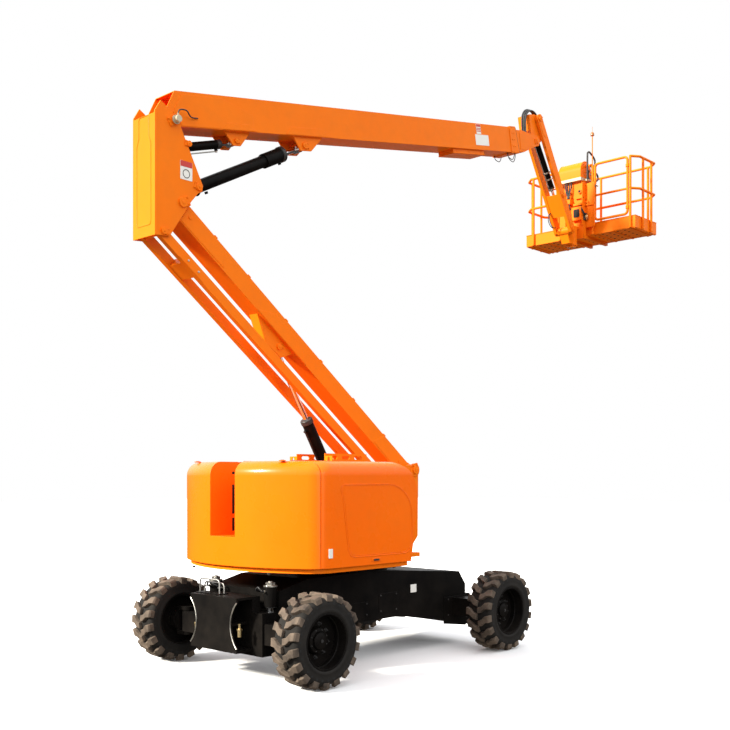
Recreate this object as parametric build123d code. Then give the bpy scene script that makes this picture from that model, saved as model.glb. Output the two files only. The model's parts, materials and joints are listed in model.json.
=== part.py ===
"""Articulating boom lift: a work basket on a folding arm, on a four-wheeled chassis.

Units are millimetres.  +X points from the counterweight towards the basket, +Y to the left, +Z up.
The origin is on the ground, under the centre of the slewing ring.
"""
import os
from math import asin, atan2, cos, degrees, hypot, radians, sin, sqrt

from build123d import *

os.makedirs("parts", exist_ok=True)

# ---------------------------------------------------------------- driving sizes
GAP = 0.3                  # running gap at pins, bores and sliding faces
AIR = 6.0                  # room between moving plates

# wheels
TYRE_R, TYRE_W = 420.0, 300.0
TYRE_SIDES = 18            # flats round the carcass
GROOVE_R, GROOVE_HALF = 385.0, 126.0       # carcass between the lugs, and half its width
SIDE_R = 350.0                             # outer edge of the tyre's side wall
LUGS = 18                                  # tread lugs on each half
LUG_HALF, LUG_SWEEP = 33.0, 60.0           # half length round the tread, and sweep from inner to outer end
LUG_IN, LUG_OUT, LUG_FOOT = 6.0, 145.0, 340.0      # ends from the tyre's middle; foot inside the carcass
RIM_R, RIM_WALL = 250.0, 14.0
DISH = 170.0               # how far the wheel disc lies in from the outer side wall
WHEELBASE, TRACK = 2756.0, 2080.0
SPINDLE_R = 46.0

# chassis
FRAME_HALF_W = 480.0
FRAME_TOP, FRAME_LOW = 905.0, 400.0
FRAME_NECK, FRAME_KEEL = 380.0, 520.0      # steer end of the low floor, from the axle
AXLE_H, AXLE_DEPTH = 190.0, 220.0          # axle beam height and its length along X
CASE_TOP, CASE_LOW = 540.0, 185.0          # drive axle's housing under the frame
CASE_BACK, CASE_LEN = 285.0, 500.0         # housing's near end from the axle, and its length
END_X, END_HALF_W = 322.0, 335.0           # steer axle's end plate: from the axle, and half its width
END_LOW, END_TOP, END_T = 255.0, 755.0, 24.0
BITE_R, BITE_DEPTH = 290.0, 85.0           # round bites in the sides of the end plate
KINGPIN_Y, KINGPIN_R = 800.0, 30.0
STEER_ARM = 190.0                          # kingpin to track rod
TRACK_ROD_R, TRACK_EYE_H = 20.0, 24.0
STEER_BARREL_R, STEER_BARREL_HALF = 42.0, 250.0
LOCK_X, LOCK_Y, LOCK_R, LOCK_ROD_R = 30.0, 400.0, 62.0, 34.0      # axle lock cylinders, from the axle
LOCK_LOW, LOCK_TOP, LOCK_FOOT = 660.0, 840.0, 610.0
TIE_R, TIE_T, TIE_Y = 22.0, 20.0, 300.0    # lashing holes: radius, lug thickness, distance from the middle
TIE_DRIVE_X, TIE_DRIVE_Z = 158.0, 600.0    # drive end's hole from its axle
TIE_STEER_X, TIE_STEER_DOWN = 600.0, 42.0  # steer end's hole from its axle, and below the frame
RING_R, RING_BORE = 450.0, 330.0
PEDESTAL_TOP, RING_H = 925.0, 60.0

# turntable
DECK_T = 45.0
DECK_NOSE, DECK_NOSE_HALF_W = 900.0, 320.0         # deck's front tongue: reach and half width
COVER_TOP = 2000.0
TAIL_R, COVER_HALF_W, COVER_CORNER = 1600.0, 1000.0, 260.0
PARTING_X = -1250.0                        # counterweight to hood
HOOD_FRONT, HOOD_WALL = 45.0, 24.0
HOOD_IN = 330.0                            # hood's inner edge from the centre plane
HOOD_SEAM = 6.0                            # hood to counterweight
HOOD_CORNER = 330.0                        # radius of the hood's front-top corner
COVER_EDGE = 130.0                         # radius along the covers' upper edges
ENGINE_X, ENGINE_Y = (-1000.0, -250.0), (420.0, 800.0)
ENGINE_H, ENGINE_HEAD_H = 510.0, 160.0
FUEL_X, OIL_X = (-1000.0, -560.0), (-480.0, -150.0)
TANK_Y, FUEL_H, OIL_H, TANK_EDGE = (-820.0, -420.0), 530.0, 630.0, 30.0
CHEEK_Y, CHEEK_T = 200.0, 20.0             # tower cheek plates: inner face and thickness
NOTCH_HALF_W, NOTCH_LOW = 180.0, 1300.0

# tower: the lower arm, its parallel link and its cylinder
TOWER_FOOT = (930.0, 1930.0)
TOWER_LEN, TOWER_ANGLE = 3880.0, 37.07     # pin to pin, and its slope above level
TOWER_HALF_W, TOWER_UP, TOWER_DOWN, TOWER_WALL = 100.0, 75.0, 105.0, 8.0
TOWER_PIN_R, TOWER_BOSS_R = 40.0, 90.0
LINK_OFFSET = (-200.0, -285.0)             # from each tower pin to the link's pin
LINK_IN, LINK_OUT, LINK_HALF_H, LINK_PIN_R = 90.0, 140.0, 46.0, 28.0
TOWER_CYL_FOOT = (324.0, 1050.0)
TOWER_CYL_HEAD = (2208.0, 170.0)           # along the tower and below its pin line
TOWER_BARREL, TOWER_BARREL_R, TOWER_ROD_R = 1620.0, 58.0, 26.0
TOWER_ROD_FROM = 740.0                     # where the rod starts inside its barrel, from the foot
TOWER_EAR_IN = 45.0                        # inner face of the ears that hold the rod's eye

# upright: the post that joins tower and boom and always stands plumb; pins are from the tower's head
UPRIGHT_HALF_W, UPRIGHT_T = 165.0, 14.0
BOOM_FOOT_OFF, LIFT_FOOT_OFF, LEVEL_FOOT_OFF = (-92.0, 700.0), (176.0, 171.0), (66.0, 531.0)
LEVEL_PIN_R = 22.0

# main boom and its telescoping fly section
BOOM_ANGLE, BOOM_LEN = 11.0, 5380.0
BOOM_HALF_W, BOOM_UP, BOOM_DOWN, BOOM_WALL = 140.0, 262.0, 45.0, 8.0
BOOM_PIN_R = 32.0
LIFT_HEAD, LEVEL_HEAD = (1623.0, -131.0), (748.0, -124.0)   # pins under the boom
LIFT_BARREL, LIFT_BARREL_R, LIFT_SLEEVE_R, LIFT_ROD_R = 1300.0, 57.0, 70.0, 28.0
LEVEL_BARREL, LEVEL_BARREL_R, LEVEL_ROD_R = 500.0, 40.0, 20.0
LIFT_SLEEVE, LIFT_ROD_FROM, LEVEL_ROD_FROM = 1020.0, 500.0, 180.0
FLY_CLEAR = 12.0
TRAY_BACK, TRAY_LEN, TRAY_H, TRAY_HALF_W = 1300.0, 620.0, 55.0, 110.0      # hose tray, from the boom's end
FLY_TAIL, FLY_END, NOSE = 1600.0, 5580.0, 5900.0            # along the boom
NOSE_ACROSS, NOSE_R, NOSE_PIN_R = 127.0, 66.0, 30.0

# jib
JIB_HEAD_OFF = (56.0, 300.0)               # nose pin to jib pin
JIB_ANGLE, JIB_LEN = -58.0, 1530.0
JIB_IN, JIB_OUT, JIB_HALF_H = 92.0, 132.0, 60.0
BASE_IN, BASE_OUT = 72.0, 86.0
JIB_CYL_FOOT = (134.0, 98.0)               # from the nose pin
JIB_CYL_HEAD = 1050.0                      # along the jib
JIB_BARREL, JIB_BARREL_R, JIB_ROD_R = 730.0, 40.0, 18.0

# basket
TURN_X = 180.0                             # jib's lower pin to the basket's turning axis
TURN_R, TURN_H = 75.0, 240.0
BASKET_NEAR, BASKET_DEPTH, BASKET_HALF_W = 186.0, 600.0, 865.0   # from the turning axis
FLOOR_UP, FLOOR_T, TOE_H = 12.0, 30.0, 130.0       # floor's top above the jib's lower pin
RAIL_H, RAIL_R, RAIL_CHAMFER, RAIL_BEND = 930.0, 17.0, 110.0, 45.0
MID_RAIL_H = 500.0
POST_IN, SIDE_POST_IN = 150.0, 200.0       # posts, in from the rails' corners
GATE_BEND = 50.0
TUBE_H, TUBE_IN, TUBE_OUT = 46.0, 100.0, 140.0     # tubes under the floor
LANYARD_Y, LANYARD_UP, LANYARD_R = 166.0, 400.0, 12.0      # lanyard eyes, above the floor
CONSOLE_UP, CONSOLE_H = 720.0, 85.0        # above the floor, and its height
CONSOLE_Y = (-120.0, 230.0)
CONSOLE_BACK = 30.0                        # console's back edge behind its post
LID_R, LID_SIDE = 125.0, 20.0
GATE_IN = -250.0                           # gate's end next to the console


# ---------------------------------------------------------------- helpers
def block(x, y, z):
    """Box from low and high values on each axis."""
    size = [hi - lo for lo, hi in (x, y, z)]
    mid = [(hi + lo) / 2 for lo, hi in (x, y, z)]
    return Pos(*mid) * Box(*size)


def slab(points, y0, y1):
    """Side outline of (x, z) points, as thick as from y0 to y1."""
    plane = Plane(origin=(0, y1, 0), x_dir=(1, 0, 0), z_dir=(0, -1, 0))
    return extrude(plane * Polygon(*points, align=None), amount=y1 - y0, dir=(0, -1, 0))


def panel(points, x0, x1):
    """End outline of (y, z) points, as thick as from x0 to x1."""
    plane = Plane(origin=(x0, 0, 0), x_dir=(0, 1, 0), z_dir=(1, 0, 0))
    return extrude(plane * Polygon(*points, align=None), amount=x1 - x0, dir=(1, 0, 0))


def plate(points, z0, z1):
    """Plan outline of (x, y) points, as thick as from z0 to z1."""
    return extrude(Plane.XY.offset(z0) * Polygon(*points, align=None), amount=z1 - z0, dir=(0, 0, 1))


def cross_pin(point, radius, y0, y1):
    """Cylinder along Y through an (x, z) point."""
    return Pos(point[0], (y0 + y1) / 2, point[1]) * Rot(90, 0, 0) * Cylinder(radius, y1 - y0)


def both_sides(solid):
    return solid + mirror(solid, Plane.XZ)


def bar(start, end, radius):
    a, b = Vector(*start), Vector(*end)
    return Plane(origin=(a + b) * 0.5, z_dir=b - a) * Cylinder(radius, (b - a).length)


def upright_cylinder(x, y, z0, z1, radius):
    return Pos(x, y, (z0 + z1) / 2) * Cylinder(radius, z1 - z0)


class Arm:
    """A straight arm in the centre plane; up is +1 where its top lies to the left of its run."""

    def __init__(self, foot, angle, up=1):
        self.foot, self.angle, self.up = foot, angle, up
        self.run = (cos(radians(angle)), sin(radians(angle)))

    def at(self, along, above=0.0):
        cx, cz = self.run
        side = above * self.up
        return (self.foot[0] + along * cx - side * cz, self.foot[1] + along * cz + side * cx)

    def beam(self, along, above, y):
        (a0, a1), (h0, h1) = along, above
        corners = [self.at(a0, h0), self.at(a1, h0), self.at(a1, h1), self.at(a0, h1)]
        return slab(corners, *y)

    def outline(self, points, y):
        return slab([self.at(*p) for p in points], *y)


def moved(point, offset):
    return (point[0] + offset[0], point[1] + offset[1])


def between(start, end):
    """Length and direction in degrees from one (x, z) point to another."""
    dx, dz = end[0] - start[0], end[1] - start[1]
    return hypot(dx, dz), degrees(atan2(dz, dx))


def barrel_of(foot, head, length, radius, rod_r, eye_y, pin_r, sleeve=None):
    """Cylinder barrel with its eye at foot; sleeve gives a thicker end as (start, radius)."""
    reach, angle = between(foot, head)
    axis = Arm(foot, angle)
    start = radius * 1.15
    body = bar_on(axis, start, length, radius)
    if sleeve:
        body += bar_on(axis, sleeve[0], length, sleeve[1])
    body += cross_pin(foot, pin_r * 1.9, -eye_y, eye_y)
    body += axis.beam((0, start + 10), (-pin_r * 1.4, pin_r * 1.4), (-eye_y * 0.8, eye_y * 0.8))
    body -= cross_pin(foot, pin_r + GAP, -eye_y * 2, eye_y * 2)
    body -= bar_on(axis, start + 30, length + 1, rod_r + GAP)
    return body


def rod_of(foot, head, tail, rod_r, eye_y, pin_r, seat_y):
    """Piston rod with its eye at head; its pin stubs stop a gap short of the lugs."""
    reach, angle = between(foot, head)
    axis = Arm(foot, angle)
    body = bar_on(axis, tail, reach - pin_r, rod_r)
    body += cross_pin(head, pin_r * 1.7, -eye_y, eye_y)
    body += cross_pin(head, pin_r, -(seat_y - GAP), seat_y - GAP)
    return body


def bar_on(axis, start, end, radius):
    (x0, z0), (x1, z1) = axis.at(start), axis.at(end)
    return bar((x0, 0, z0), (x1, 0, z1), radius)


# ---------------------------------------------------------------- places worked out from the sizes
STEER_X, DRIVE_X = -WHEELBASE / 2, WHEELBASE / 2
HALF_TRACK = TRACK / 2
TYRE_IN = HALF_TRACK - TYRE_W / 2
DISC_Y = TYRE_W / 2 - DISH                 # disc's outer face from the wheel's mid plane
AXLE_Z = TYRE_R
CASE_X = (DRIVE_X - CASE_BACK, DRIVE_X - CASE_BACK + CASE_LEN)
TRACK_ROD_Z = AXLE_Z - AXLE_H / 2 - AIR + GAP + TRACK_EYE_H
TIE_DRIVE = (DRIVE_X + TIE_DRIVE_X, TIE_DRIVE_Z)
TIE_STEER = (STEER_X + TIE_STEER_X, FRAME_LOW - TIE_STEER_DOWN)

tower = Arm(TOWER_FOOT, 180 - TOWER_ANGLE, up=-1)
TOWER_HEAD = tower.at(TOWER_LEN)
link = Arm(moved(TOWER_FOOT, LINK_OFFSET), 180 - TOWER_ANGLE, up=-1)
LINK_HEAD = link.at(TOWER_LEN)
TOWER_CYL_PIN = tower.at(TOWER_CYL_HEAD[0], -TOWER_CYL_HEAD[1])

BOOM_FOOT = moved(TOWER_HEAD, BOOM_FOOT_OFF)
LIFT_FOOT = moved(TOWER_HEAD, LIFT_FOOT_OFF)
LEVEL_FOOT = moved(TOWER_HEAD, LEVEL_FOOT_OFF)

boom = Arm(BOOM_FOOT, BOOM_ANGLE)
LIFT_PIN, LEVEL_PIN = boom.at(*LIFT_HEAD), boom.at(*LEVEL_HEAD)
NOSE_PIN = boom.at(NOSE, NOSE_ACROSS)
JIB_PIN = moved(NOSE_PIN, JIB_HEAD_OFF)
jib = Arm(JIB_PIN, JIB_ANGLE)
JIB_END = jib.at(JIB_LEN)
JIB_CYL_BASE = moved(NOSE_PIN, JIB_CYL_FOOT)
JIB_CYL_PIN = jib.at(JIB_CYL_HEAD)

TURN_AXIS = JIB_END[0] + TURN_X
TURN_LOW, TURN_TOP = JIB_END[1] - TURN_H * 0.72, JIB_END[1] + TURN_H * 0.28
FLOOR = JIB_END[1] + FLOOR_UP
BASKET_X0 = TURN_AXIS + BASKET_NEAR
BASKET_X1 = BASKET_X0 + BASKET_DEPTH
FLOOR_LOW = FLOOR - FLOOR_T
TUBE_LOW = FLOOR_LOW - TUBE_H
POST_X = (TURN_AXIS + TURN_R + 10, BASKET_X0 - 2 * RAIL_R - GAP * 2)
LANYARD_Z = FLOOR + LANYARD_UP
RAIL_OFF = RAIL_R + GAP                    # rails stand this far outside the floor's edge
GATE_POST_Y = -BASKET_HALF_W - RAIL_OFF + RAIL_CHAMFER * 0.75
GATE_HINGE_Y = GATE_POST_Y + 2 * RAIL_R + AIR
GATE_STOP_Y = GATE_IN + RAIL_R + 3         # post that the gate shuts against
CONSOLE_X = (POST_X[0] - CONSOLE_BACK, POST_X[0] - CONSOLE_BACK + 2 * LID_R)

DECK_LOW = PEDESTAL_TOP + RING_H + GAP
DECK_TOP = DECK_LOW + DECK_T
COVER_LOW = DECK_TOP
CHEEK_TOP = COVER_TOP - 20


# ---------------------------------------------------------------- wheels
def tread_lug(hand):
    """Slanting tread block on top of the tyre, from its middle to its shoulder."""
    ends = ((-LUG_SWEEP / 2, LUG_IN), (LUG_SWEEP / 2, LUG_OUT))
    (x0, y0), (x1, y1) = ends
    outline = [(x0 - LUG_HALF, y0 * hand), (x0 + LUG_HALF, y0 * hand), (x1 + LUG_HALF, y1 * hand),
               (x1 - LUG_HALF, y1 * hand)]
    reach = LUG_SWEEP / 2 + LUG_HALF
    return plate(outline, LUG_FOOT, sqrt(TYRE_R ** 2 - reach ** 2))


def tyre():
    """Tyre at the origin, its axis along Y: a many-sided carcass with the lugs of both halves staggered."""
    half = TYRE_W / 2
    rings = [(-half, SIDE_R), (-GROOVE_HALF, GROOVE_R), (GROOVE_HALF, GROOVE_R), (half, SIDE_R)]
    sections = [Plane(origin=(0, y, 0), x_dir=(1, 0, 0), z_dir=(0, 1, 0)) * RegularPolygon(r, TYRE_SIDES)
                for y, r in rings]
    body = loft(sections, ruled=True)
    pitch = 360 / LUGS
    # a lug's corner comes to the lowest point
    corner = degrees(asin((LUG_SWEEP / 2 + LUG_HALF) / TYRE_R))
    lugs = [Rot(0, corner + (k + shift) * pitch, 0) * tread_lug(hand)
            for k in range(LUGS) for hand, shift in ((1, 0), (-1, 0.5))]
    body += lugs
    return body - cross_pin((0, 0), RIM_R, -half - 1, half + 1)


def rim(side):
    """Wheel rim with a deep dish on its outer side; side is +1 on the left."""
    half = TYRE_W / 2 - 12
    back = DISC_Y - 16
    profile = Polygon(
        (SPINDLE_R + GAP, back - 26), (110, back - 26), (120, back), (RIM_R - RIM_WALL, back),
        (RIM_R - RIM_WALL, -half), (RIM_R, -half), (RIM_R, half), (RIM_R - RIM_WALL, half),
        (RIM_R - RIM_WALL, DISC_Y), (125, DISC_Y), (110, DISC_Y + 50), (82, DISC_Y + 58),
        (72, DISC_Y + 34), (SPINDLE_R + GAP, DISC_Y + 34), align=None)
    turned = revolve(Plane.XZ * profile, Axis.Z)
    return Rot(-90 * side, 0, 0) * turned


def spindle(x, side, inner):
    """Stub axle from inner to just inside the hub's cap."""
    outer = HALF_TRACK + DISC_Y + 20
    return cross_pin((x, AXLE_Z), SPINDLE_R, *sorted((side * inner, side * outer)))


# ---------------------------------------------------------------- chassis
def chassis_frame():
    """Welded box frame, high in the middle and drawn down to the drive axle."""
    side = [(STEER_X + 70, 620), (STEER_X + 70, 800), (STEER_X + 420, FRAME_TOP - 20),
            (0, FRAME_TOP), (DRIVE_X + 10, 800), (DRIVE_X + 125, 655), (DRIVE_X + 125, CASE_TOP),
            (CASE_X[0], CASE_TOP), (CASE_X[0], CASE_LOW + 90), (CASE_X[0] - 700, FRAME_LOW),
            (STEER_X + FRAME_KEEL, FRAME_LOW), (STEER_X + FRAME_NECK, 620)]
    body = slab(side, -FRAME_HALF_W, FRAME_HALF_W)
    body += upright_cylinder(0, 0, FRAME_TOP - 60, PEDESTAL_TOP, RING_R + 30)
    x = STEER_X + LOCK_X
    for y in (-LOCK_Y, LOCK_Y):
        body += upright_cylinder(x, y, LOCK_LOW, LOCK_TOP, LOCK_R)
        body += block((x, x + 170), (y - 50, y + 50), (LOCK_LOW + 30, LOCK_TOP - 50))
        body -= upright_cylinder(x, y, LOCK_FOOT - 10, LOCK_TOP - 40, LOCK_ROD_R + GAP)
    body += tie_down_lugs()
    for point in (TIE_DRIVE, TIE_STEER):
        body -= cross_pin(point, TIE_R, -TIE_Y - 60, -TIE_Y + 60)
        body -= cross_pin(point, TIE_R, TIE_Y - 60, TIE_Y + 60)
    return body


def tie_down_lugs():
    """Lugs with a round hole for lashing the machine down, two at each end of the frame."""
    x, z = TIE_DRIVE
    lugs = slab([(x - 60, z - 55), (x + 20, z - 55), (x + 44, z), (x + 20, z + 40), (x - 60, z + 40)],
                TIE_Y - TIE_T / 2, TIE_Y + TIE_T / 2)
    x, z = TIE_STEER
    lugs += slab([(x - 80, z + 60), (x - 44, z - 20), (x, z - 44), (x + 44, z - 20), (x + 80, z + 60)],
                 TIE_Y - TIE_T / 2, TIE_Y + TIE_T / 2)
    return both_sides(lugs)


def oscillation_rods():
    """Rods of the two axle lock cylinders, standing on the steer axle."""
    x = STEER_X + LOCK_X
    rods = [upright_cylinder(x, y, LOCK_FOOT, LOCK_TOP - 70, LOCK_ROD_R) for y in (-LOCK_Y, LOCK_Y)]
    return Compound(children=rods)


def steer_axle():
    """Oscillating front axle: beam, end plate and kingpin bosses."""
    half = AXLE_DEPTH / 2
    z0, z1 = AXLE_Z - AXLE_H / 2, AXLE_Z + AXLE_H / 2
    body = block((STEER_X - half, STEER_X + half), (-KINGPIN_Y + 20, KINGPIN_Y - 20), (z0, z1))
    for side in (-1, 1):
        y = side * KINGPIN_Y
        body -= upright_cylinder(STEER_X, y, z0 - 1, z1 + 1, 120)
        body += upright_cylinder(STEER_X, y, z0, z1, 62)
        inner, outer = sorted((side * (KINGPIN_Y - 130), side * (KINGPIN_Y - 20)))
        body += block((STEER_X - 45, STEER_X + 45), (inner, outer), (z0, z1))
        body -= upright_cylinder(STEER_X, y, z0 - 1, z1 + 1, KINGPIN_R + GAP)
    w = FRAME_HALF_W - 10
    body += block((STEER_X - half - 20, STEER_X + 40), (-w, w), (215, LOCK_FOOT))
    # end box: a front plate with a round bite in each side, on two shelves and a middle web
    x0, x1 = STEER_X - END_X, STEER_X - half - 19
    w, middle = END_HALF_W, (END_LOW + END_TOP) / 2
    front = block((x0, x0 + END_T), (-w, w), (END_LOW, END_TOP))
    for side in (-1, 1):
        bite_y = side * (w + BITE_R - BITE_DEPTH)
        front -= Pos(x0, bite_y, middle) * Rot(0, 90, 0) * Cylinder(BITE_R, 100)
    body += front
    body += block((x0, x1), (-w + BITE_DEPTH, w - BITE_DEPTH), (middle - END_T / 2, middle + END_T / 2))
    body += block((x0, x1), (-w, w), (END_TOP - END_T, END_TOP))
    body += block((x0, x1), (-w, w), (END_LOW, END_LOW + END_T))
    body += block((x1 - 1, STEER_X - 40), (-w, w), (LOCK_FOOT - 10, END_TOP))
    return body


def drive_axle():
    """Fixed rear axle with its wheel gear cases and stub shafts."""
    half = AXLE_DEPTH / 2
    z0, z1 = AXLE_Z - AXLE_H / 2, AXLE_Z + AXLE_H / 2
    body = block((DRIVE_X - half, DRIVE_X + half), (-760, 760), (z0, z1))
    (x0, x1), w = CASE_X, FRAME_HALF_W - 3
    body += slab([(x0 + GAP, CASE_TOP), (x0 + GAP, CASE_LOW + 88), (x1, CASE_LOW), (x1, CASE_TOP)], -w, w)
    for side in (-1, 1):
        y = sorted((side * 740, side * (TYRE_IN - 10)))
        body += cross_pin((DRIVE_X, AXLE_Z), 150, *y)
        y = sorted((side * 740, side * (HALF_TRACK + DISC_Y - 60)))
        body += cross_pin((DRIVE_X, AXLE_Z), 105, *y)
        body += spindle(DRIVE_X, side, 740)
    return body


def knuckle(side):
    """Steering knuckle: fork and kingpin, stub axle, and the arm to the track rod."""
    z0, z1 = AXLE_Z - AXLE_H / 2, AXLE_Z + AXLE_H / 2
    ear = 38
    y = side * KINGPIN_Y
    web = sorted((side * (KINGPIN_Y + 62 + AIR), side * (TYRE_IN + 8)))
    body = block((STEER_X - 70, STEER_X + 70), web, (z0 - AIR - ear, z1 + AIR + ear))
    inner = sorted((side * KINGPIN_Y, side * (TYRE_IN - 20)))
    for low, high in ((z0 - AIR - ear, z0 - AIR), (z1 + AIR, z1 + AIR + ear)):
        body += upright_cylinder(STEER_X, y, low, high, 66)
        body += block((STEER_X - 66, STEER_X + 66), inner, (low, high))
    body += upright_cylinder(STEER_X, y, z0 - AIR - 1, z1 + AIR + 1, KINGPIN_R)
    body += cross_pin((STEER_X, AXLE_Z), 105, *sorted((side * TYRE_IN, side * (HALF_TRACK + DISC_Y - 60))))
    body += spindle(STEER_X, side, TYRE_IN - 5)
    low, high = z0 - AIR - ear, z0 - AIR
    body += block((STEER_X, STEER_X + STEER_ARM), (y - 28, y + 28), (low, high))
    body += upright_cylinder(STEER_X + STEER_ARM, y, low, high, 34)
    return body


def track_rod():
    """Rod that turns both knuckles together, with its eyes on the steering arms."""
    x = STEER_X + STEER_ARM
    body = bar((x, -KINGPIN_Y, TRACK_ROD_Z), (x, KINGPIN_Y, TRACK_ROD_Z), TRACK_ROD_R)
    for y in (-KINGPIN_Y, KINGPIN_Y):
        body += upright_cylinder(x, y, TRACK_ROD_Z - TRACK_EYE_H, TRACK_ROD_Z + TRACK_EYE_H, 32)
    return body


def steer_cylinder():
    """Double-ended steering cylinder on the axle; the track rod is its rod."""
    x = STEER_X + STEER_ARM
    half = STEER_BARREL_HALF
    body = bar((x, -half, TRACK_ROD_Z), (x, half, TRACK_ROD_Z), STEER_BARREL_R)
    heights = (TRACK_ROD_Z + 5, TRACK_ROD_Z + STEER_BARREL_R)
    for y in (-half + 40, half - 40):
        body += block((STEER_X + AXLE_DEPTH / 2, x), (y - 25, y + 25), heights)
    body -= bar((x, -half - 50, TRACK_ROD_Z), (x, half + 50, TRACK_ROD_Z), TRACK_ROD_R + GAP)
    return body


def slewing_ring():
    ring = upright_cylinder(0, 0, PEDESTAL_TOP, PEDESTAL_TOP + RING_H, RING_R)
    return ring - upright_cylinder(0, 0, PEDESTAL_TOP - 1, PEDESTAL_TOP + RING_H + 1, RING_BORE)


# ---------------------------------------------------------------- turntable
def cover_block(inset, low, top):
    """Rounded body of the covers, drawn in by inset: a tail arc and straight sides."""
    r, w = TAIL_R - inset, COVER_HALF_W - inset
    tail = upright_cylinder(0, 0, low, top, r)
    body = tail & block((-r - 1, HOOD_FRONT + 400), (-w, w), (low, top))
    upright_edges = body.edges().filter_by(Axis.Z).group_by(Axis.X)[0]
    body = fillet(upright_edges, COVER_CORNER - inset)
    return body


def rounded_cover(inset, low, top):
    body = cover_block(inset, low, top)
    rims = body.edges().group_by(Axis.Z)
    rims_top = [e for e in rims[-1] if e.center().X < HOOD_FRONT + 200]
    body = fillet(rims_top, COVER_EDGE - inset)
    return body


def hood_profile(inset):
    """Side outline of a hood, with its large front-top corner."""
    low, top = COVER_LOW - 1, COVER_TOP + 1 - inset
    front, back = HOOD_FRONT - inset, PARTING_X + HOOD_SEAM + inset
    outline = Polygon((back, low), (front - 95, low), (front, low + 480), (front, top), (back, top),
                      align=None)
    corner = outline.vertices().sort_by(Axis.X)[-2:].sort_by(Axis.Y)[-1]
    return fillet(corner, HOOD_CORNER - inset)


def hood(side):
    """Hinged cover, hollow, open below and towards the middle."""
    def body(inset, inner_y):
        plane = Plane(origin=(0, COVER_HALF_W + 50, 0), x_dir=(1, 0, 0), z_dir=(0, -1, 0))
        shape = extrude(plane * hood_profile(inset), amount=COVER_HALF_W + 50 - inner_y, dir=(0, -1, 0))
        return shape
    shell = rounded_cover(0, COVER_LOW + GAP, COVER_TOP) & body(0, HOOD_IN)
    hollow = rounded_cover(HOOD_WALL, COVER_LOW - 50, COVER_TOP - HOOD_WALL) & body(HOOD_WALL, HOOD_IN - 1)
    left = shell - hollow
    return left if side > 0 else mirror(left, Plane.XZ)


def counterweight():
    """Cast tail weight with the channel that the folded tower lies in."""
    body = rounded_cover(0, COVER_LOW, COVER_TOP)
    body &= block((-TAIL_R - 10, PARTING_X), (-2000, 2000), (COVER_LOW, COVER_TOP))
    body -= block((-TAIL_R - 10, PARTING_X + 1), (-NOTCH_HALF_W, NOTCH_HALF_W), (NOTCH_LOW, COVER_TOP + 1))
    return body


def turntable_frame():
    """Deck, the two tower cheeks with their pins, and the centre strips the hoods hang from."""
    body = cover_block(40, DECK_LOW, DECK_TOP) & block((-TAIL_R, -60), (-2000, 2000), (DECK_LOW, DECK_TOP))
    body += block((-61, DECK_NOSE), (-DECK_NOSE_HALF_W, DECK_NOSE_HALF_W), (DECK_LOW, DECK_TOP))
    foot_x, foot_z = TOWER_FOOT
    cheek = [(PARTING_X + 8, DECK_TOP), (820, DECK_TOP), (foot_x + 55, 1200), (foot_x + 60, foot_z),
             (foot_x + 30, foot_z + 45), (foot_x - 90, CHEEK_TOP), (PARTING_X + 8, CHEEK_TOP)]
    walls = slab(cheek, CHEEK_Y, CHEEK_Y + CHEEK_T)
    walls += cross_pin(TOWER_FOOT, 72, CHEEK_Y, CHEEK_Y + CHEEK_T + 8)
    walls += block((PARTING_X + 8, -120), (CHEEK_Y, HOOD_IN - GAP), (CHEEK_TOP - 14, CHEEK_TOP))
    body += both_sides(walls)
    body += cross_pin(TOWER_FOOT, TOWER_PIN_R, -CHEEK_Y - 1, CHEEK_Y + 1)
    body += cross_pin(link.foot, LINK_PIN_R, -CHEEK_Y - 1, CHEEK_Y + 1)
    # well and clevis for the tower cylinder's foot
    x, z = TOWER_CYL_FOOT
    body -= block((x - 180, x + 76), (-64, 64), (DECK_LOW + 8, DECK_TOP + 1))
    lug = [(x - 90, DECK_TOP), (x + 90, DECK_TOP), (x + 45, z + 70), (x - 45, z + 70)]
    body += both_sides(slab(lug, 64, 84))
    body += cross_pin(TOWER_CYL_FOOT, LINK_PIN_R, -70, 70)
    return body


def boom_rest():
    """Slotted guides each side of the tower, where the folded arm comes to lie."""
    x0, x1, top = -450, 160, COVER_TOP + 90
    guide = block((x0, x1), (CHEEK_Y, CHEEK_Y + 10), (CHEEK_TOP, top))
    guide += block((x0, x0 + 10), (CHEEK_Y, CHEEK_Y + 110), (CHEEK_TOP, top - 25))
    guide += block((x0, x1), (CHEEK_Y, CHEEK_Y + 20), (CHEEK_TOP, CHEEK_TOP + 12))
    for x in (-330, -150, 30):
        slot = Pos(x, CHEEK_Y, COVER_TOP + 50) * Rot(90, 0, 0) * extrude(SlotOverall(110, 36), 60, both=True)
        guide -= slot
    guide -= Pos(x0, CHEEK_Y + 60, COVER_TOP + 25) * Rot(0, 90, 0) * extrude(
        SlotOverall(60, 30, rotation=0), 40, both=True)
    return guide


def engine():
    """Engine and pump as one block on the left of the deck."""
    top = DECK_TOP + ENGINE_H
    (x0, x1), (y0, y1) = ENGINE_X, ENGINE_Y
    head = block((x0 + 100, x1 - 250), (y0 + 50, y1 - 60), (top, top + ENGINE_HEAD_H))
    return block(ENGINE_X, ENGINE_Y, (DECK_TOP, top)) + head


def tanks():
    """Fuel and oil tanks on the right of the deck."""
    fuel = fillet(block(FUEL_X, TANK_Y, (DECK_TOP, DECK_TOP + FUEL_H)).edges(), TANK_EDGE)
    oil = fillet(block(OIL_X, TANK_Y, (DECK_TOP, DECK_TOP + OIL_H)).edges(), TANK_EDGE)
    return Compound(children=[fuel, oil])


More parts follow.
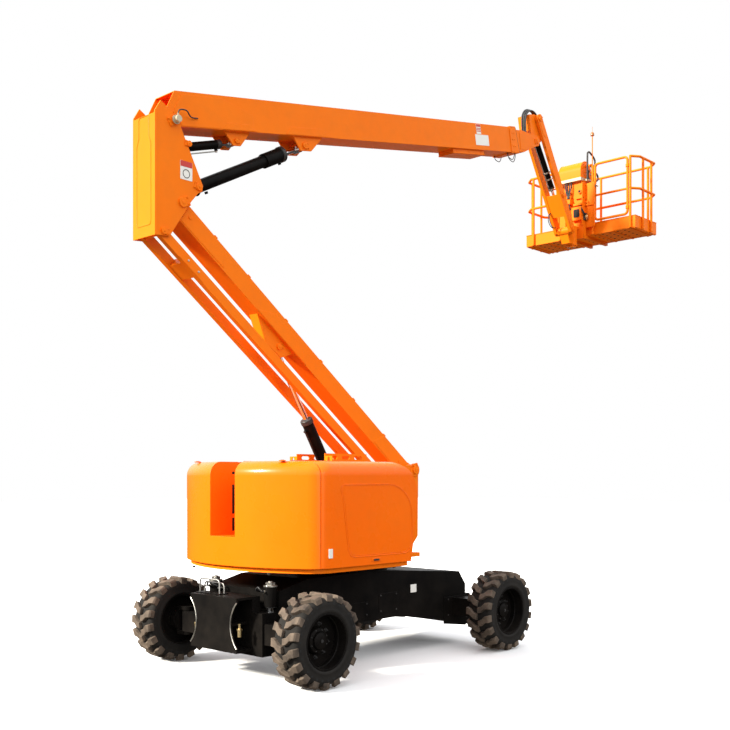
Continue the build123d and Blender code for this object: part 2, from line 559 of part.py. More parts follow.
# ---------------------------------------------------------------- tower
def tower_boom():
    """Lower arm: a box tube with pin bosses and, underneath, the bracket of its cylinder."""
    ends = (30, TOWER_LEN - 30)
    body = tower.beam(ends, (-TOWER_DOWN, TOWER_UP), (-TOWER_HALF_W, TOWER_HALF_W))
    body -= tower.beam((130, TOWER_LEN - 130), (-TOWER_DOWN + TOWER_WALL, TOWER_UP - TOWER_WALL),
                       (-TOWER_HALF_W + TOWER_WALL, TOWER_HALF_W - TOWER_WALL))
    for pin, boss_y in ((TOWER_FOOT, CHEEK_Y - AIR), (TOWER_HEAD, UPRIGHT_HALF_W - UPRIGHT_T - AIR)):
        body += cross_pin(pin, TOWER_BOSS_R - 4, -TOWER_HALF_W, TOWER_HALF_W)
        body += cross_pin(pin, TOWER_PIN_R + 24, -boss_y, boss_y)
    along, below = TOWER_CYL_HEAD
    ear = [(along - 175, -TOWER_DOWN), (along - 85, -below - 68), (along + 160, -below - 78),
           (along + 400, -TOWER_DOWN)]
    body += both_sides(tower.outline(ear, (TOWER_EAR_IN, TOWER_EAR_IN + 12)))
    end_plate = [(along + 160, -below - 78), (along + 400, -TOWER_DOWN), (along + 388, -TOWER_DOWN),
                 (along + 160, -below - 64)]
    body += tower.outline(end_plate, (-46, 46))
    for pin in (TOWER_FOOT, TOWER_HEAD):
        body -= cross_pin(pin, TOWER_PIN_R + GAP, -300, 300)
    # the rod's eye swings up into this slot at both ends of the travel
    slot = (-TOWER_EAR_IN - GAP, TOWER_EAR_IN + GAP)
    body -= tower.beam((along - 150, along + 90), (-TOWER_DOWN - 1, -TOWER_DOWN + TOWER_WALL + 1), slot)
    return body


def tower_link():
    """Parallel link: two tubes side by side, tied near each end."""
    body = both_sides(link.beam((0, TOWER_LEN), (-LINK_HALF_H, LINK_HALF_H), (LINK_IN, LINK_OUT))
                      + cross_pin(link.foot, LINK_HALF_H, LINK_IN, LINK_OUT)
                      + cross_pin(LINK_HEAD, LINK_HALF_H, LINK_IN, LINK_OUT))
    for along in (380, TOWER_LEN - 420):
        body += link.beam((along - 90, along + 90), (-LINK_HALF_H + 6, LINK_HALF_H - 6),
                          (-LINK_IN - 1, LINK_IN + 1))
    for pin in (link.foot, LINK_HEAD):
        body -= cross_pin(pin, LINK_PIN_R + GAP, -300, 300)
    return body


def upright():
    """Plumb post: two shaped side plates, a back plate and the pins of the five arms it holds."""
    bx, bz = BOOM_FOOT
    lx, lz = LIFT_FOOT
    kx, kz = LINK_HEAD
    back = kx - 92
    side = [(back, kz - 48), (kx + 62, kz - 36), (TOWER_HEAD[0] + 90, TOWER_HEAD[1] + 20), (lx - 8, lz - 58),
            (lx + 40, lz - 30), (lx + 46, lz + 22), (bx + 66, bz - 30), (bx + 40, bz + 30),
            (bx - 140, bz + 136), (back, bz + 36)]
    body = both_sides(slab(side, UPRIGHT_HALF_W - UPRIGHT_T, UPRIGHT_HALF_W))
    inner = UPRIGHT_HALF_W - UPRIGHT_T
    body += block((back, back + 12), (-inner - 1, inner + 1), (kz - 48, bz + 20))
    for point, radius in ((TOWER_HEAD, TOWER_PIN_R), (LINK_HEAD, LINK_PIN_R), (BOOM_FOOT, BOOM_PIN_R),
                          (LIFT_FOOT, LINK_PIN_R), (LEVEL_FOOT, LEVEL_PIN_R)):
        body += cross_pin(point, radius, -inner - 1, inner + 1)
    return body


# ---------------------------------------------------------------- main boom
def main_boom():
    """Outer boom section with its root, cylinder lugs and end pads for the fly section."""
    w, t = BOOM_HALF_W, BOOM_WALL
    side = [(-73, 68), (72, BOOM_UP), (BOOM_LEN, BOOM_UP), (BOOM_LEN + 40, -BOOM_DOWN), (85, -BOOM_DOWN)]
    body = boom.outline(side, (-w, w))
    body -= boom.beam((-200, BOOM_LEN + 200), (-BOOM_DOWN + t, BOOM_UP - t), (-w + t, w - t))
    # lugs: (first, tip first, tip last, last) along the boom, tip depth, and half gap between plates
    for a, b, c, d, depth, half in ((620, 705, 795, 930, 168, 80), (1480, 1560, 1710, 1890, 180, 98)):
        lug = [(a, -BOOM_DOWN), (b, -depth), (c, -depth), (d, -BOOM_DOWN)]
        body += both_sides(boom.outline(lug, (half, half + 14)))
    body += cross_pin(BOOM_FOOT, BOOM_PIN_R + 10, -w + t - 1, w - t + 1)
    body -= cross_pin(BOOM_FOOT, BOOM_PIN_R + GAP, -300, 300)
    # end pads that the fly section slides on
    h0, h1 = fly_section()
    inner = w - t
    fly_w = w - FLY_CLEAR - BOOM_WALL
    span = (BOOM_LEN - 90, BOOM_LEN - 10)
    body += boom.beam(span, (h1 + GAP, BOOM_UP - t + 1), (-60, 60))
    body += boom.beam(span, (-BOOM_DOWN + t - 1, h0 - GAP), (-60, 60))
    body += both_sides(boom.beam(span, (60, 150), (fly_w + GAP, inner + 1)))
    return body


def fly_section():
    """Heights of the fly section's lower and upper faces above the boom's pin line."""
    return -BOOM_DOWN + BOOM_WALL + FLY_CLEAR, BOOM_UP - BOOM_WALL - FLY_CLEAR


def fly_boom():
    """Inner boom section; its tapered nose cheeks hold the jib's base."""
    h0, h1 = fly_section()
    w, t = BOOM_HALF_W - FLY_CLEAR - BOOM_WALL, BOOM_WALL
    body = boom.beam((FLY_TAIL, FLY_END), (h0, h1), (-w, w))
    body -= boom.beam((FLY_TAIL - 1, FLY_END + 1), (h0 + t, h1 - t), (-w + t, w - t))
    cheek = [(FLY_END - 60, h0 + 1), (FLY_END, h0 + 1), (NOSE - 20, NOSE_ACROSS - NOSE_R),
             (NOSE - 20, NOSE_ACROSS + NOSE_R), (FLY_END, h1 - 1), (FLY_END - 60, h1 - 1)]
    nose = boom.outline(cheek, (w - 20, w)) + cross_pin(NOSE_PIN, NOSE_R, w - 20, w)
    body += both_sides(nose)
    body += cross_pin(NOSE_PIN, NOSE_PIN_R, -w + 19, w - 19)
    span = (FLY_TAIL + 20, FLY_TAIL + 100)
    body += boom.beam(span, (h1 - 1, BOOM_UP - BOOM_WALL - GAP), (-60, 60))
    body += boom.beam(span, (-BOOM_DOWN + BOOM_WALL + GAP, h0 + 1), (-60, 60))
    return body


def hose_tray():
    """Shallow box under the boom near its end."""
    start = BOOM_LEN - TRAY_BACK
    heights = (-BOOM_DOWN - TRAY_H, -BOOM_DOWN)
    return boom.beam((start, start + TRAY_LEN), heights, (-TRAY_HALF_W, TRAY_HALF_W))


# ---------------------------------------------------------------- jib
def jib_base():
    """Bracket at the boom's nose that stays level and carries the jib."""
    nx, nz = NOSE_PIN
    jx, jz = JIB_PIN
    cx, cz = JIB_CYL_BASE
    side = [(nx - 56, nz - 40), (nx + 30, nz - 58), (cx + 40, cz - 40), (cx + 44, cz + 30),
            (jx + 52, jz - 20), (jx + 30, jz + 48), (jx - 60, jz + 52), (jx - 190, jz + 20)]
    body = both_sides(slab(side, BASE_IN, BASE_OUT))
    body += slab([(jx - 190, jz + 20), (jx - 60, jz + 52), (jx - 60, jz + 42), (jx - 186, jz + 10)], -73, 73)
    body += slab([(jx - 190, jz + 20), (jx - 176, jz + 22), (nx - 96, nz + 120), (nx - 108, nz + 118)],
                 -73, 73)
    body -= cross_pin(NOSE_PIN, NOSE_PIN_R + GAP, -200, 200)
    body += cross_pin(JIB_PIN, NOSE_PIN_R, -JIB_OUT, JIB_OUT)
    body += cross_pin(JIB_CYL_BASE, 20, -BASE_IN - 1, BASE_IN + 1)
    return body


def jib_boom():
    """Two arms side by side, tied together below their cylinder."""
    arm = jib.beam((0, JIB_LEN), (-JIB_HALF_H, JIB_HALF_H), (JIB_IN, JIB_OUT))
    arm += cross_pin(JIB_PIN, JIB_HALF_H, JIB_IN, JIB_OUT)
    arm += cross_pin(JIB_END, JIB_HALF_H - 8, JIB_IN, JIB_OUT)
    body = both_sides(arm)
    tie = (JIB_CYL_HEAD + 120, JIB_CYL_HEAD + 260)
    body += jib.beam(tie, (-JIB_HALF_H + 10, JIB_HALF_H - 10), (-JIB_IN - 1, JIB_IN + 1))
    body -= cross_pin(JIB_PIN, NOSE_PIN_R + GAP, -200, 200)
    body += cross_pin(JIB_END, 26, -JIB_IN - 1, JIB_IN + 1)
    return body


def jib_head():
    """Level bracket at the jib's lower end with the housing of the basket's turning gear."""
    x, z = JIB_END
    arm = [(x - 20, z - 50), (x + 30, TURN_LOW + 10), (TURN_AXIS, TURN_LOW + 10), (TURN_AXIS, TURN_TOP - 10),
           (x + 30, TURN_TOP - 20), (x - 20, z + 50)]
    body = slab(arm, -62, 62)
    body += cross_pin(JIB_END, 56, -JIB_IN + AIR, JIB_IN - AIR)
    body += upright_cylinder(TURN_AXIS, 0, TURN_LOW, TURN_TOP, TURN_R)
    body -= cross_pin(JIB_END, 26 + GAP, -200, 200)
    body -= upright_cylinder(TURN_AXIS, 0, TURN_LOW - 1, TURN_TOP + 1, 30 + GAP)
    return body


# ---------------------------------------------------------------- basket
def basket_support():
    """Turning shaft, post behind the basket and the two tubes under its floor."""
    top = TURN_TOP + GAP
    body = upright_cylinder(TURN_AXIS, 0, TURN_LOW - 10, top + 20, 30)
    body += block((TURN_AXIS - 60, POST_X[0] + 1), (-58, 58), (top, top + 30))
    body += block(POST_X, (-140, 140), (TUBE_LOW, FLOOR + CONSOLE_UP))
    # eyes for safety lanyards
    mid = sum(POST_X) / 2
    for side in (-1, 1):
        low, high = sorted((side * 139, side * LANYARD_Y + side * 26))
        body += block((mid - 6, mid + 6), (low, high), (LANYARD_Z - 28, LANYARD_Z + 28))
        body -= Pos(mid, side * LANYARD_Y, LANYARD_Z) * Rot(0, 90, 0) * Cylinder(LANYARD_R, 40)
    return body


def floor_tubes():
    """Two tubes under the basket's floor, welded to the foot of its post."""
    return both_sides(block((POST_X[1], BASKET_X1 - 40), (TUBE_IN, TUBE_OUT), (TUBE_LOW, FLOOR_LOW)))


def basket_floor():
    """Floor with the toe board round its edge."""
    x, y = (BASKET_X0, BASKET_X1), (-BASKET_HALF_W, BASKET_HALF_W)
    outer = block(x, y, (FLOOR_LOW, FLOOR + TOE_H))
    wall = 5
    inner = block((x[0] + wall, x[1] - wall), (y[0] + wall, y[1] - wall), (FLOOR, FLOOR + TOE_H + 1))
    return outer - inner


def ring_points(z, start_y):
    """Corner points of a rail round the basket, from start_y to the far side of the gate."""
    x0, x1 = BASKET_X0 - RAIL_OFF, BASKET_X1 + RAIL_OFF
    w, c = BASKET_HALF_W + RAIL_OFF, RAIL_CHAMFER
    points = [(x0, start_y), (x0, w - c), (x0 + c, w), (x1 - c, w), (x1, w - c), (x1, -w + c), (x1 - c, -w),
              (x0 + c, -w), (x0, GATE_POST_Y)]
    return [(px, py, z) for px, py in points]


def railing(points, bend, closed=False):
    """Tube along straight runs, bent round where they meet."""
    path = FilletPolyline(*points, radius=bend, close=closed)
    tube = sweep(Plane(origin=path @ 0, z_dir=path % 0) * Circle(RAIL_R), path=path)
    return tube if closed else tube + Pos(path @ 1) * Sphere(RAIL_R)


def top_rail():
    """Top rail round the basket, and its short end between the gate and the console."""
    z = FLOOR + RAIL_H
    x = BASKET_X0 - RAIL_OFF
    ring = railing(ring_points(z, CONSOLE_Y[1] + GAP), RAIL_BEND)
    return ring + bar((x, GATE_STOP_Y, z), (x, CONSOLE_Y[0] - GAP, z), RAIL_R)


def middle_rail():
    """Middle rail round the basket, open at the gate."""
    return railing(ring_points(FLOOR + MID_RAIL_H, GATE_STOP_Y), RAIL_BEND)


def basket_posts():
    """Posts on the floor's edge between the rails, two of them at the gate."""
    x0, x1, w = BASKET_X0 - RAIL_OFF, BASKET_X1 + RAIL_OFF, BASKET_HALF_W + RAIL_OFF
    top = FLOOR + RAIL_H
    places = [(x0, w - POST_IN), (x0, CONSOLE_Y[1] + 60), (x0, GATE_STOP_Y), (x0, GATE_POST_Y),
              (x1, w - POST_IN), (x1, 0), (x1, POST_IN - w)]
    places += [(x, y) for x in (x0 + SIDE_POST_IN, x1 - SIDE_POST_IN) for y in (w, -w)]
    gate_end, bend_end = (x0, GATE_POST_Y), (x0 + RAIL_CHAMFER, -w)
    body = None
    for x, y in places:
        post = upright_cylinder(x, y, FLOOR_LOW, top, RAIL_R)
        for z in (FLOOR + MID_RAIL_H, top):
            if (x, y) == gate_end:
                post -= bar((*gate_end, z), (*bend_end, z), RAIL_R) + Pos(x, y, z) * Sphere(RAIL_R)
            elif x in (x0, x1):
                post -= bar((x, y - POST_IN / 2, z), (x, y + POST_IN / 2, z), RAIL_R)
            else:
                post -= bar((x - POST_IN / 2, y, z), (x + POST_IN / 2, y, z), RAIL_R)
        body = post if body is None else body + post
    # collars that the gate's tube turns in
    for z in (FLOOR + TOE_H + 120, top - 120):
        body += upright_cylinder(x0, GATE_HINGE_Y, z - 20, z + 20, RAIL_R + 8)
        body -= upright_cylinder(x0, GATE_HINGE_Y, z - 21, z + 21, RAIL_R + GAP)
    return body


def gate():
    """Swinging gate in the side towards the boom."""
    x = BASKET_X0 - RAIL_OFF
    low, top = FLOOR + TOE_H + 30, FLOOR + RAIL_H
    y0, y1 = GATE_HINGE_Y, GATE_IN - 20
    corners = [(x, y0, low), (x, y1, low), (x, y1, top), (x, y0, top)]
    middle = FLOOR + MID_RAIL_H
    return railing(corners, GATE_BEND, closed=True) + bar((x, y0, middle), (x, y1, middle), RAIL_R - 2)


def control_console():
    """Control box on the post behind the basket, open side up under its lid."""
    low = FLOOR + CONSOLE_UP
    return block(CONSOLE_X, CONSOLE_Y, (low, low + CONSOLE_H))


def console_cover():
    """Half-round lid over the control box."""
    low = FLOOR + CONSOLE_UP + CONSOLE_H
    mid = CONSOLE_X[0] + LID_R
    arch = cross_pin((mid, low + LID_SIDE), LID_R, *CONSOLE_Y)
    room = block(CONSOLE_X, CONSOLE_Y, (low, low + LID_R * 2))
    return (arch + block(CONSOLE_X, CONSOLE_Y, (low, low + LID_SIDE))) & room


# ---------------------------------------------------------------- nodes
NODES = {
    "chassis_frame": chassis_frame(),
    "steer_axle": steer_axle(),
    "axle_lock_rods": oscillation_rods(),
    "steer_cylinder": steer_cylinder(),
    "track_rod": track_rod(),
    "drive_axle": drive_axle(),
    "slewing_ring": slewing_ring(),
    "turntable_frame": turntable_frame(),
    "counterweight": counterweight(),
    "boom_rest": Compound(children=[boom_rest(), mirror(boom_rest(), Plane.XZ)]),
    "engine": engine(),
    "tanks": tanks(),
    "tower_boom": tower_boom(),
    "tower_link": tower_link(),
    "tower_barrel": barrel_of(TOWER_CYL_FOOT, TOWER_CYL_PIN, TOWER_BARREL, TOWER_BARREL_R, TOWER_ROD_R, 56,
                              LINK_PIN_R),
    "tower_rod": rod_of(TOWER_CYL_FOOT, TOWER_CYL_PIN, TOWER_ROD_FROM, TOWER_ROD_R, 27, 26, TOWER_EAR_IN),
    "upright": upright(),
    "main_boom": main_boom(),
    "hose_tray": hose_tray(),
    "fly_boom": fly_boom(),
    "lift_barrel": barrel_of(LIFT_FOOT, LIFT_PIN, LIFT_BARREL, LIFT_BARREL_R, LIFT_ROD_R, 60, LINK_PIN_R,
                             sleeve=(LIFT_SLEEVE, LIFT_SLEEVE_R)),
    "lift_rod": rod_of(LIFT_FOOT, LIFT_PIN, LIFT_ROD_FROM, LIFT_ROD_R, 40, 28, 98),
    "level_barrel": barrel_of(LEVEL_FOOT, LEVEL_PIN, LEVEL_BARREL, LEVEL_BARREL_R, LEVEL_ROD_R, 45,
                              LEVEL_PIN_R),
    "level_rod": rod_of(LEVEL_FOOT, LEVEL_PIN, LEVEL_ROD_FROM, LEVEL_ROD_R, 30, LEVEL_PIN_R, 80),
    "jib_base": jib_base(),
    "jib_boom": jib_boom(),
    "jib_barrel": barrel_of(JIB_CYL_BASE, JIB_CYL_PIN, JIB_BARREL, JIB_BARREL_R, JIB_ROD_R, 50, 20),
    "jib_rod": rod_of(JIB_CYL_BASE, JIB_CYL_PIN, 330, JIB_ROD_R, 30, 20, JIB_IN),
    "jib_head": jib_head(),
    "basket_support": basket_support(),
    "basket_floor": basket_floor(),
    "basket_floor_tubes": floor_tubes(),
    "basket_top_rail": top_rail(),
    "basket_middle_rail": middle_rail(),
    "basket_posts": basket_posts(),
    "basket_gate": gate(),
    "control_console": control_console(),
    "console_cover": console_cover(),
}
TYRE = tyre()
for name, side in (("left", 1), ("right", -1)):
    NODES[f"hood_{name}"] = hood(side)
    NODES[f"knuckle_{name}"] = knuckle(side)
    for end, x in (("steer", STEER_X), ("drive", DRIVE_X)):
        place = Pos(x, side * HALF_TRACK, AXLE_Z)
        NODES[f"tyre_{end}_{name}"] = place * TYRE
        NODES[f"rim_{end}_{name}"] = place * rim(side)

for name, shape in NODES.items():
    export_step(shape, f"parts/{name}.step")
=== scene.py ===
"""Looks of the articulating boom lift: finishes for every CAD node, and the small pieces that dress it.

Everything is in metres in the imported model's frame: +X towards the basket, +Y left, +Z up.
Places come from the joints' pins and the nodes' boxes.
"""
import json
import math
from itertools import product

import bmesh
import bpy
from mathutils import Matrix, Vector


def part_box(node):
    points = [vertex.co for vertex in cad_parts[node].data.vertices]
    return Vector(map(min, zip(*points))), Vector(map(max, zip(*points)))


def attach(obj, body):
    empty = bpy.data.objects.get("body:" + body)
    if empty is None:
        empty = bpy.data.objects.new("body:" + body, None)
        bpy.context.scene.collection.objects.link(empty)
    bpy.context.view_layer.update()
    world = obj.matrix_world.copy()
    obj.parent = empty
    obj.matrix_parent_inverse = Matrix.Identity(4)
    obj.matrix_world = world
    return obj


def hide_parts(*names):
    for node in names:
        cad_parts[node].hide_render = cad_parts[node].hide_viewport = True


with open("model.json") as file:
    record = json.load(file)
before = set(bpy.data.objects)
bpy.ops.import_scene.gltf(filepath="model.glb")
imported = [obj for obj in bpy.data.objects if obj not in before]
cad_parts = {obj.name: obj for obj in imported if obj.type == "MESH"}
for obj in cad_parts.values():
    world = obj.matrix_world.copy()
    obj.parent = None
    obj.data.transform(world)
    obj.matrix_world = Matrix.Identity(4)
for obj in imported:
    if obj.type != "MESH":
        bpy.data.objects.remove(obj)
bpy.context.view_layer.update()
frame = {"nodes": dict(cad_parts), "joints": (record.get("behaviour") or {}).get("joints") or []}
JOINTS = {j["name"]: j for j in frame["joints"]}
PIN = {name: Vector(j["pos_m"]) for name, j in JOINTS.items() if "pos_m" in j}
X, Y, Z = Vector((1, 0, 0)), Vector((0, 1, 0)), Vector((0, 0, 1))
SIDES = (1, -1)                            # left, right


# ---------------------------------------------------------------- node materials
class Shader:
    """A material's node tree with short calls for its nodes. Colours are given without their alpha."""

    def __init__(self, name):
        self.material = bpy.data.materials.new(name)
        self.material.use_nodes = True
        self.tree = self.material.node_tree
        self.coords = self.node("TexCoord")["Object"]

    def node(self, kind, inputs=(), **settings):
        """Outputs of a new node, its inputs set or linked."""
        made = self.tree.nodes.new("ShaderNode" + kind)
        for key, value in settings.items():
            setattr(made, key, value)
        for key, value in dict(inputs).items():
            self.put(made.inputs[key], value)
        return made.outputs

    def put(self, socket, value):
        """Links a socket to another node's output, or gives it a value."""
        if isinstance(value, bpy.types.NodeSocket):
            self.tree.links.new(value, socket)
        else:
            socket.default_value = (*value, 1) if socket.type == "RGBA" else value

    def noise(self, scale, detail=3.0, rough=0.55, stretch=None):
        place = self.node("Mapping", {"Vector": self.coords, "Scale": stretch})[0] if stretch else self.coords
        return self.node("TexNoise", {"Vector": place, "Scale": scale, "Detail": detail,
                                      "Roughness": rough})["Fac"]

    def ramp(self, factor, low, high):
        """0 below low, 1 above high."""
        return self.node("MapRange", {"Value": factor, "From Min": low, "From Max": high})[0]

    def times(self, a, b, kind="MULTIPLY"):
        return self.node("Math", {0: a, 1: b}, operation=kind)[0]

    def mix(self, factor, a, b):
        return self.node("Mix", {"Factor": factor, "A": a, "B": b}, data_type="RGBA")["Result"]

    def edges(self, radius):
        """1 on corners tighter than radius, 0 on flats; and the normal that rounds them."""
        rounded = self.node("Bevel", {"Radius": radius}, samples=4)[0]
        flat = self.node("NewGeometry")["Normal"]
        dot = self.node("VectorMath", {0: rounded, 1: flat}, operation="DOT_PRODUCT")["Value"]
        return self.ramp(dot, 0.985, 0.9), rounded

    def bump(self, factor, strength, distance, normal):
        return self.node("Bump", {"Height": factor, "Strength": strength, "Distance": distance,
                                  "Normal": normal})[0]

    def set(self, **values):
        for key, value in values.items():
            self.put(self.tree.nodes["Principled BSDF"].inputs[key.replace("_", " ")], value)
        return self.material


def paint(name, colour, light, dust, rough=0.36, wear=0.35, edge=0.004, coat=0.0, dusty=0.0, peel=0.05,
          shine=0.12):
    """Sprayed paint: slow drift between two tints, orange peel, rubbed edges, and dust low down."""
    s = Shader(name)
    drift = s.ramp(s.noise(1.3, 4), 0.35, 0.7)
    fine = s.ramp(s.noise(9.0, 6), 0.42, 0.75)
    base = s.mix(s.times(drift, 0.5), colour, light)
    base = s.mix(s.times(fine, 0.18), base, dust)
    rubbed, rounded = s.edges(edge)
    scuffs = s.ramp(s.noise(26.0, 5), 0.4, 0.62)
    base = s.mix(s.times(s.times(rubbed, scuffs), wear), base, light)
    if dusty:
        low = s.ramp(s.node("SeparateXYZ", {0: s.coords})["Z"], 1.0, 0.15)
        speckle = s.ramp(s.noise(5.0, 7, 0.65), 0.36, 0.7)
        base = s.mix(s.times(s.times(low, speckle), dusty), base, dust)
    gloss = s.times(s.times(s.noise(3.0, 4), 0.16), rough - 0.08, "ADD")
    normal = s.bump(s.noise(240.0, 2), peel, 0.002, rounded)
    return s.set(Base_Color=base, Roughness=gloss, Normal=normal, Specular_IOR_Level=shine,
                 Coat_Weight=coat, Coat_Roughness=0.12)


def darker(colour, share):
    return tuple(c * share for c in colour)


def metal(name, colour, rough, grain=0.0):
    """Bare metal, slightly stained, brushed where it has a grain."""
    s = Shader(name)
    stain = s.ramp(s.noise(14.0, 5), 0.45, 0.75)
    base = s.mix(s.times(stain, 0.25), colour, darker(colour, 0.6))
    gloss = s.times(s.times(stain, 0.15), rough, "ADD")
    normal = s.bump(s.noise(160.0, 3, stretch=(1, 12, 1)), grain, 0.001, s.edges(0.002)[1])
    return s.set(Base_Color=base, Roughness=gloss, Normal=normal, Metallic=1.0)


def plastic(name, colour, rough=0.5, texture=0.1, scale=300.0):
    """Plastic, rubber or film in one tint, slightly uneven."""
    s = Shader(name)
    shade = s.ramp(s.noise(6.0, 5), 0.35, 0.7)
    base = s.mix(s.times(shade, 0.22), colour, darker(colour, 0.7))
    normal = s.bump(s.noise(scale, 2), texture, 0.001, s.edges(0.002)[1])
    return s.set(Base_Color=base, Roughness=rough, Normal=normal)


def tread_rubber(name, colour, dust, amount):
    """Tyre rubber: brown dust on the raised faces, darker in the grooves."""
    s = Shader(name)
    patch = s.ramp(s.noise(7.0, 6, 0.6), 0.25, 0.72)
    base = s.mix(s.times(patch, amount), colour, dust)
    rubbed, rounded = s.edges(0.006)
    base = s.mix(s.times(rubbed, 0.35), base, dust)
    normal = s.bump(s.noise(90.0, 6, 0.6), 0.35, 0.002, rounded)
    return s.set(Base_Color=base, Roughness=0.82, Normal=normal, Specular_IOR_Level=0.2)


ORANGE = paint("orange_paint", (0.9, 0.178, 0.004), (0.94, 0.215, 0.006), (0.62, 0.155, 0.014), shine=0.07)
COVER = paint("cover_gelcoat", (0.91, 0.136, 0.002), (0.94, 0.16, 0.003), (0.7, 0.14, 0.008),
              rough=0.28, wear=0.15, coat=0.14, edge=0.008, peel=0.03)
BLACK = paint("black_paint", (0.0022, 0.002, 0.002), (0.011, 0.01, 0.009), (0.02, 0.016, 0.013),
              rough=0.4, wear=0.6, dusty=0.5, peel=0.08, shine=0.05)
DARK = paint("dark_steel", (0.012, 0.012, 0.0125), (0.1, 0.095, 0.09), (0.05, 0.045, 0.04),
             rough=0.45, wear=0.4, shine=0.25)
MACHINERY = paint("engine_grey", (0.1, 0.105, 0.11), (0.2, 0.2, 0.2), (0.06, 0.05, 0.045), rough=0.5)
CHROME = metal("rod_chrome", (0.78, 0.79, 0.8), 0.1)
ZINC = metal("zinc_bolts", (0.52, 0.5, 0.45), 0.32, 0.1)
BRASS = metal("brass_fitting", (0.72, 0.55, 0.28), 0.3, 0.1)
WIRE = metal("wire_guard", (0.36, 0.35, 0.33), 0.42)
HOSE = plastic("hose_rubber", (0.013, 0.013, 0.014), 0.55, 0.3, 500.0)
GREY = plastic("console_grey", (0.5, 0.43, 0.29), 0.45, 0.15)
WHITE = plastic("blank_label", (0.8, 0.79, 0.74), 0.4, 0.02)
RED = plastic("label_red", (0.55, 0.025, 0.015), 0.4, 0.02)
AMBER = plastic("beacon_amber", (0.34, 0.12, 0.02), 0.2, 0.02)
# Near-black sheet: painted shade in the tyres' vent holes, the hoods' and tail's slots, the back plate's
# recesses and the basket floor's holes; also the boom's black rubber wiper.
PAINTED_SHADE_AND_RUBBER = plastic("painted_shade_and_rubber_black", (0.004, 0.004, 0.004), 0.85, 0.0)
CARCASS = tread_rubber("tyre_rubber", (0.008, 0.0075, 0.007), (0.026, 0.022, 0.018), 0.55)
TREAD = tread_rubber("tread_face", (0.024, 0.02, 0.017), (0.185, 0.138, 0.102), 0.85)

# the record's material slot that a finish belongs to, unless a piece says otherwise
SLOT_OF = {ORANGE: "orange_paint", COVER: "orange_paint", BLACK: "black_paint", DARK: "black_paint",
           CARCASS: "tyre_rubber", TREAD: "tyre_rubber"}
NODE_FINISH = {
    BLACK: """chassis_frame steer_axle steer_cylinder track_rod drive_axle slewing_ring knuckle_left
              knuckle_right tanks tower_barrel lift_barrel level_barrel jib_barrel rim_steer_left
              rim_steer_right rim_drive_left rim_drive_right""",
    CHROME: "axle_lock_rods tower_rod lift_rod level_rod jib_rod",
    COVER: "hood_left hood_right counterweight",
    MACHINERY: "engine",
    GREY: "control_console",
}
FINISH = {node: material for material, nodes in NODE_FINISH.items() for node in nodes.split()}
for node_name, node_object in frame["nodes"].items():
    node_object.data.materials.clear()
    node_object.data.materials.append(FINISH.get(node_name, ORANGE))


# ---------------------------------------------------------------- mesh helpers
def basis(origin, along, up=Z):
    """Matrix whose local Z runs along, placed at origin."""
    z = Vector(along).normalized()
    x = Vector(up).cross(z)
    if x.length < 1e-4:
        x = X.cross(z) if abs(z.x) < 0.9 else Y.cross(z)
    x.normalize()
    return Matrix.Translation(Vector(origin)) @ Matrix((x, z.cross(x), z)).transposed().to_4x4()


def wall(px, py, pz, side):
    """Matrix with local X along X, local Y up and local Z out of a wall on that side."""
    return Matrix.Translation((px, py, pz)) @ Matrix(((1, 0, 0), (0, 0, side), (0, 1, 0))).to_4x4()


def near(base, steps, hand=1):
    """Points at steps from a base; hand turns their y to a side."""
    return [Vector(base) + Vector((dx, dy * hand, dz)) for dx, dy, dz in steps]


def around(count, radius=1.0, start=0.0):
    """Points (a, b) spaced evenly round a circle; start is a share of the pitch."""
    turns = [2 * math.pi * (k + start) / count for k in range(count)]
    return [(radius * math.cos(a), radius * math.sin(a)) for a in turns]


def rounded(width, height, radius, steps=5):
    """Corner points of a rounded rectangle about the origin."""
    points = []
    for sx, sy, start in ((1, 1, 0), (-1, 1, 90), (-1, -1, 180), (1, -1, 270)):
        for k in range(steps + 1):
            a = math.radians(start + 90 * k / steps)
            points.append((sx * (width / 2 - radius) + radius * math.cos(a),
                           sy * (height / 2 - radius) + radius * math.sin(a)))
    return points


def smooth(points, steps=6):
    """Points on a Catmull-Rom curve through the given ones."""
    p = [Vector(q) for q in points]
    p = [2 * p[0] - p[1], *p, 2 * p[-1] - p[-2]]
    out = []
    for a, b, c, d in zip(p, p[1:], p[2:], p[3:]):
        for t in (i / steps for i in range(steps)):
            out.append(0.5 * (2 * b + (c - a) * t + (2 * a - 5 * b + 4 * c - d) * t * t
                              + (3 * b - a - 3 * c + d) * t ** 3))
    return out + [p[-2]]


